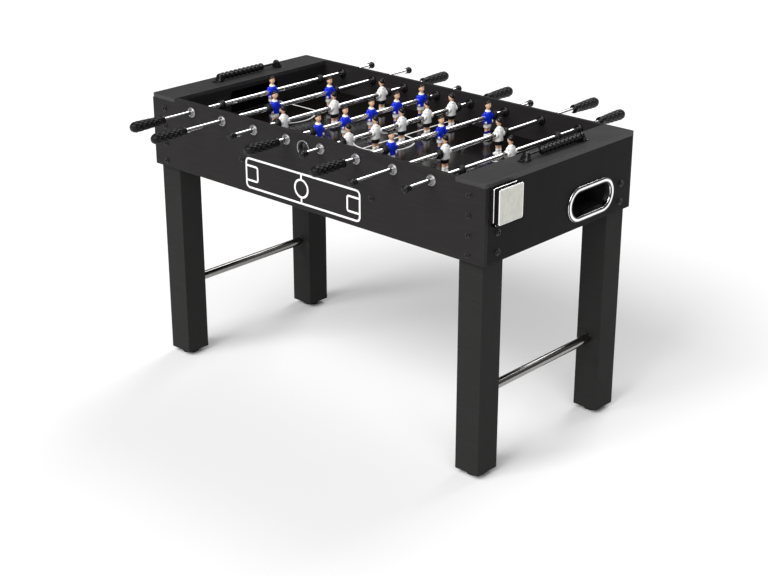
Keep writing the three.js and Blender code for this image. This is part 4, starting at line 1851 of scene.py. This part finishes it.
@dataclass
class Rod:
    """One player rod with everything on it, and the two bearings that carry it."""

    number: int
    slot: str
    bumper_half: float = 7.0
    bumper_radius: float = 13.0
    bumper_gap: float = 0.5
    lone_bumper: float = 195.0
    cap_length: float = 22.0
    cap_radius: float = 10.0
    tube_radius: float = 6.5
    tube_in_grip: float = 30.0
    tube_in_cap: float = 10.0
    man_half: float = 17.0

    def __post_init__(self) -> None:
        """Reads the rod's places from the CAD nodes."""
        low, high = box_of(f"rod_{self.number}_bearing")
        self.x, self.z = (low[0] + high[0]) / 2, (low[2] + high[2]) / 2
        grip_low, grip_high = box_of(f"rod_{self.number}_grip")
        men_low, men_high = box_of(f"rod_{self.number}_men")
        shaft_low, shaft_high = box_of(f"rod_{self.number}_shaft")
        self.grip_side = 1.0 if grip_low[1] > 0 else -1.0
        self.grip_start = grip_low[1] if self.grip_side > 0 else grip_high[1]
        self.middle = (men_low[1] + men_high[1]) / 2
        self.men_length = men_high[1] - men_low[1]
        self.shaft = (shaft_low[1], shaft_high[1])
        self.team = next(team for team in Team if team.slot == self.slot)

    @property
    def body(self) -> str:
        """The body that slides and turns."""
        return f"rod_{self.number}"

    def men_places(self) -> Array:
        """The men's places along the rod, evenly spread over the length that they take.

        Returns:
            One place for each man.
        """
        count = MEN_ON_ROD[self.number - 1]
        reach = (self.men_length - 2 * self.man_half) / 2 if count > 1 else 0.0
        return self.middle + np.linspace(-reach, reach, count)

    def build(self) -> None:
        """Makes the tube, the cap, the grip, the bumpers, the men and the bearings."""
        shaft_node, grip_node = f"{self.body}_shaft", f"{self.body}_grip"
        chrome = Role(self.body, "chrome_rod", (shaft_node,))
        black = Role(self.body, "black_plastic", (shaft_node,))
        cap_start = self.shaft[0] + self.cap_length if self.grip_side > 0 else self.shaft[1] - self.cap_length
        in_grip = self.grip_start + self.grip_side * self.tube_in_grip
        in_cap = cap_start - self.grip_side * self.tube_in_cap
        self._add("tube", self._tube(*sorted((in_grip, in_cap))), chrome, [ROD_PLATING])
        self._add("cap", self._cap(cap_start), black, [BLACK_MOULDING])
        grip = Grip().surface(self.grip_start, self.grip_side)
        self._add("handle", grip, Role(self.body, "rubber_grip", (grip_node,)), [GRIP_RUBBER], 50)
        places = self.men_places()
        reach = self.man_half + self.bumper_gap + self.bumper_half
        reach = self.lone_bumper if len(places) == 1 else places[-1] - self.middle + reach
        for word, side in (("near", -1), ("far", 1)):
            bumper = self._bumper().moved(0, self.middle + side * reach)
            self._add(f"bumper_{word}", bumper, black, [BUMPER_RUBBER])
        figure = Man().surface()
        if self.team is Team.BACK:
            figure = figure.half_turned()
        men = Role(self.body, self.slot, (f"{self.body}_men",))
        for index, y in enumerate(places):
            self._add(f"man_{index + 1}", figure.moved(0, y), men, self.team.finishes, 50)
        self._bearings()

    def _add(
        self, word: str, surface: Surface, role: Role, finishes: Sequence[Finish], crease: float = 40
    ) -> None:
        """Makes one piece of this rod, from a surface about the rod's axis."""
        make_piece(f"{self.body}_{word}", surface.moved(self.x, 0, self.z), role, finishes, crease)

    def _tube(self, low: float, high: float) -> Surface:
        """The plated tube."""
        outline = [(0, low), (self.tube_radius, low), (self.tube_radius, high), (0, high)]
        return lathed(filleted(outline, 0.8), Axis.Y, 48)

    def _cap(self, start: float) -> Surface:
        """The end cap: a socket over the tube, a groove and a rounded knob.

        Args:
            start: where its open end lies along Y.

        Returns:
            The cap about the rod's axis.
        """
        r, long = self.cap_radius, self.cap_length
        outline = [(0, 0), (r - 1.6, 0), (r - 1.6, 7), (r - 2.6, 8.5), (r - 2.6, 10), (r, 12), (r, long - 4)]
        outline += [(r - 3.5, long - 0.4), (0, long)]
        rows = filleted(outline, 1.6, steps=5)
        rows[:, 1] = start - self.grip_side * rows[:, 1]
        return lathed(rows, Axis.Y, 48)

    def _bumper(self) -> Surface:
        """A rubber bumper with three rings round it.

        Returns:
            The bumper about the rod's axis, its middle at 0.
        """
        half, r = self.bumper_half, self.bumper_radius
        outline = [(0, -half), (r - 2.4, -half), (r, -half + 2), (r, -half + 3.4)]
        outline += [(r - 1.5, -2.1), (r - 1.5, -1.6)]
        outline += [(radius, -y) for radius, y in reversed(outline)]
        return lathed(filleted(outline, 1.0, steps=4), Axis.Y, 48)

    def _bearings(self) -> None:
        """The front bearing, which the CAD model has, and the back one, which is its mirror."""
        node = f"{self.body}_bearing"
        front_low, front_high = box_of("side_panel_front")
        low, high = box_of(node)
        outer, panel, inner = front_low[1] - low[1], front_high[1] - front_low[1], high[1] - front_high[1]
        flange = self._flange(outer).moved(0, -front_low[1])
        nut = self._nut(inner + 0.6, panel).moved(0, -front_low[1])
        both = Surface.joined([flange, nut])
        front = Surface(both.points * np.array([1, -1, 1]), both.quads, both.coats)
        finishes = [GREY_MOULDING, BLACK_MOULDING]
        turning = Role(f"bearing_{self.number}", "grey_plastic", (node,))
        self._add("front_bearing", front, turning, finishes)
        self._add("back_bearing", both, Role("root", "grey_plastic"), finishes)

    def _flange(self, proud: float) -> Surface:
        """The outer half: a domed flange with a dished middle and a collar round the rod.

        Args:
            proud: how far it stands off the panel.

        Returns:
            The flange, on the panel's outer face at 0.
        """
        bore = self.tube_radius + 0.25
        outline = [(bore, -1.0), (15.0, 0.1), (15.0, 2.6), (12.8, proud - 0.6), (10.6, proud - 0.4)]
        outline += [(9.6, proud - 2.4), (8.6, proud - 2.2), (8.2, proud), (bore, proud)]
        return lathed(filleted(outline, 0.9, ring=True), Axis.Y, 56, 0, ring=True)

    def _nut(self, proud: float, panel: float) -> Surface:
        """The inner half: a black screwed nut with shallow notches round its rim.

        Args:
            proud: how far it stands off the panel inside.
            panel: the panel's thickness.

        Returns:
            The nut, with the panel's outer face at 0.
        """
        bore = self.tube_radius + 0.25
        back = -panel
        outline = [(bore, back - proud), (11.0, back - proud), (13.5, back - proud + 1.6), (13.5, back - 0.1)]
        outline += [(10.6, back - 0.1), (10.6, -1.2), (bore, -1.2)]
        rows = filleted(outline, 0.5, ring=True)
        around = angles(96)
        notch = np.clip(np.cos(12 * around) - 0.55, 0, 1) * 2.0
        r = rows[:, :1] - np.where(rows[:, :1] > 12.0, 1.0, 0.0) * notch[None]
        points = Axis.Y.place(r * np.cos(around), r * np.sin(around), rows[:, 1:] + 0 * r)
        return Surface.grid(points, 1, ring=True)


MEN_ON_ROD = (1, 2, 3, 5, 5, 3, 2, 1)


# ---- studio --------------------------------------------------------------------------------------
@dataclass(frozen=True)
class Softbox:
    """A wide soft lamp so far off that it lights the whole floor evenly."""

    name: str
    towards: Point
    strength: float
    spread: float

    def build(self) -> None:
        """Adds the lamp, which shines from its direction and looks as wide as its spread in degrees."""
        data = bpy.data.lights.new(self.name, "SUN")
        data.energy = self.strength
        data.angle = math.radians(self.spread)
        lamp = bpy.data.objects.new(self.name, data)
        bpy.context.scene.collection.objects.link(lamp)
        lamp.location = Vector(self.towards) * 4
        lamp.rotation_euler = (-Vector(self.towards)).to_track_quat("-Z", "Y").to_euler()


@dataclass
class Studio:
    """A pale floor that runs out of sight, a bright room, soft lamps and the camera. In metres."""

    floor_half: float = 60.0
    floor_colour: Colour = (0.85, 0.85, 0.85)
    floor_shade: float = 0.985
    dome_light: float = 0.30
    horizon_light: float = 0.12
    dome_from: float = 0.35
    dome_to: float = 0.75
    eye: Point = (2.7902, -3.0091, 1.9517)
    target: Point = (0.2522, -0.2704, 0.430)
    lens: float = 73.0
    sensor: float = 36.0
    lamps: tuple[Softbox, ...] = (
        Softbox("key_softbox", (-0.10, -0.76, 0.64), 2.7, 40.0),
        Softbox("camera_softbox", (0.48, -0.56, 0.68), 1.4, 50.0),
        Softbox("rim_softbox", (-0.12, 0.68, 0.72), 1.1, 30.0),
    )

    def build(self) -> None:
        """Adds the floor, the room, the lamps and the camera."""
        self._floor()
        self._room()
        for lamp in self.lamps:
            lamp.build()
        self._camera()
        bpy.context.scene.view_settings.view_transform = "Standard"

    def _floor(self) -> None:
        """A pale floor with a faint unevenness in its shade."""
        half = self.floor_half
        mesh = bpy.data.meshes.new("studio_floor")
        corners = [(-half, -half, 0), (half, -half, 0), (half, half, 0), (-half, half, 0)]
        mesh.from_pydata(corners, [], [(0, 1, 2, 3)])
        paint = bpy.data.materials.new("studio_floor_paint")
        paint.use_nodes = True
        wiring = Wiring(paint.node_tree)
        shader = paint.node_tree.nodes["Principled BSDF"]
        place = wiring.add("TexCoord").outputs["Object"]
        pale = (*self.floor_colour, 1.0)
        darker = tuple(c * self.floor_shade for c in self.floor_colour) + (1.0,)
        wiring.feed(shader, "Base Color", wiring.mixed(wiring.noise(place, 0.8), darker, pale))
        shader.inputs["Roughness"].default_value = 0.85
        mesh.materials.append(paint)
        floor = bpy.data.objects.new("studio_floor", mesh)
        bpy.context.scene.collection.objects.link(floor)

    def _room(self) -> None:
        """A room lit by its ceiling, with darker walls, that looks plain white behind the table.

        Its light rises smoothly from the walls' to the ceiling's between two heights of the direction.
        """
        world = bpy.data.worlds.new("studio_room")
        world.use_nodes = True
        wiring = Wiring(world.node_tree)
        background = world.node_tree.nodes["Background"]
        background.inputs["Color"].default_value = (1.0, 1.0, 1.0, 1.0)
        up = wiring.add("SeparateXYZ", None, Vector=wiring.add("TexCoord").outputs["Generated"]).outputs["Z"]
        ceiling = wiring.ramp(up, self.dome_from, self.dome_to)
        rise = self.dome_light - self.horizon_light
        light = wiring.maths("MULTIPLY_ADD", ceiling, rise, self.horizon_light)
        seen = wiring.add("LightPath").outputs["Is Camera Ray"]
        wiring.feed(background, "Strength", wiring.maths("MAXIMUM", light, seen))
        bpy.context.scene.world = world

    def _camera(self) -> None:
        """The camera, level, looking down on the table over its front right corner."""
        data = bpy.data.cameras.new("camera")
        data.lens = self.lens
        data.sensor_width = self.sensor
        data.clip_end = 200.0
        camera = bpy.data.objects.new("camera", data)
        bpy.context.scene.collection.objects.link(camera)
        camera.location = self.eye
        towards = Vector(self.target) - Vector(self.eye)
        camera.rotation_euler = towards.to_track_quat("-Z", "Y").to_euler()
        bpy.context.scene.camera = camera


def main() -> None:
    """Loads the frame, and builds the studio and every sub-assembly."""
    logging.basicConfig(level=logging.INFO, format="%(name)s: %(message)s")
    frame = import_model()
    nodes = frame["nodes"]
    slots = {part["node"]: part["material_slot"] for part in frame["record"]["subparts"]}
    Studio().build()
    Cabinet(nodes).build()
    PitchLines().build()
    PanelDrawing().build()
    CabinetBolts().build()
    Legs(nodes).build()
    BallReturns(nodes).build()
    ServeRing().build()
    for end in ("left", "right"):
        ScoreCounter(end).build()
    DrinkHolder().build()
    for number in range(1, len(MEN_ON_ROD) + 1):
        Rod(number, slots[f"rod_{number}_men"]).build()


if __name__ == "__main__":
    main()
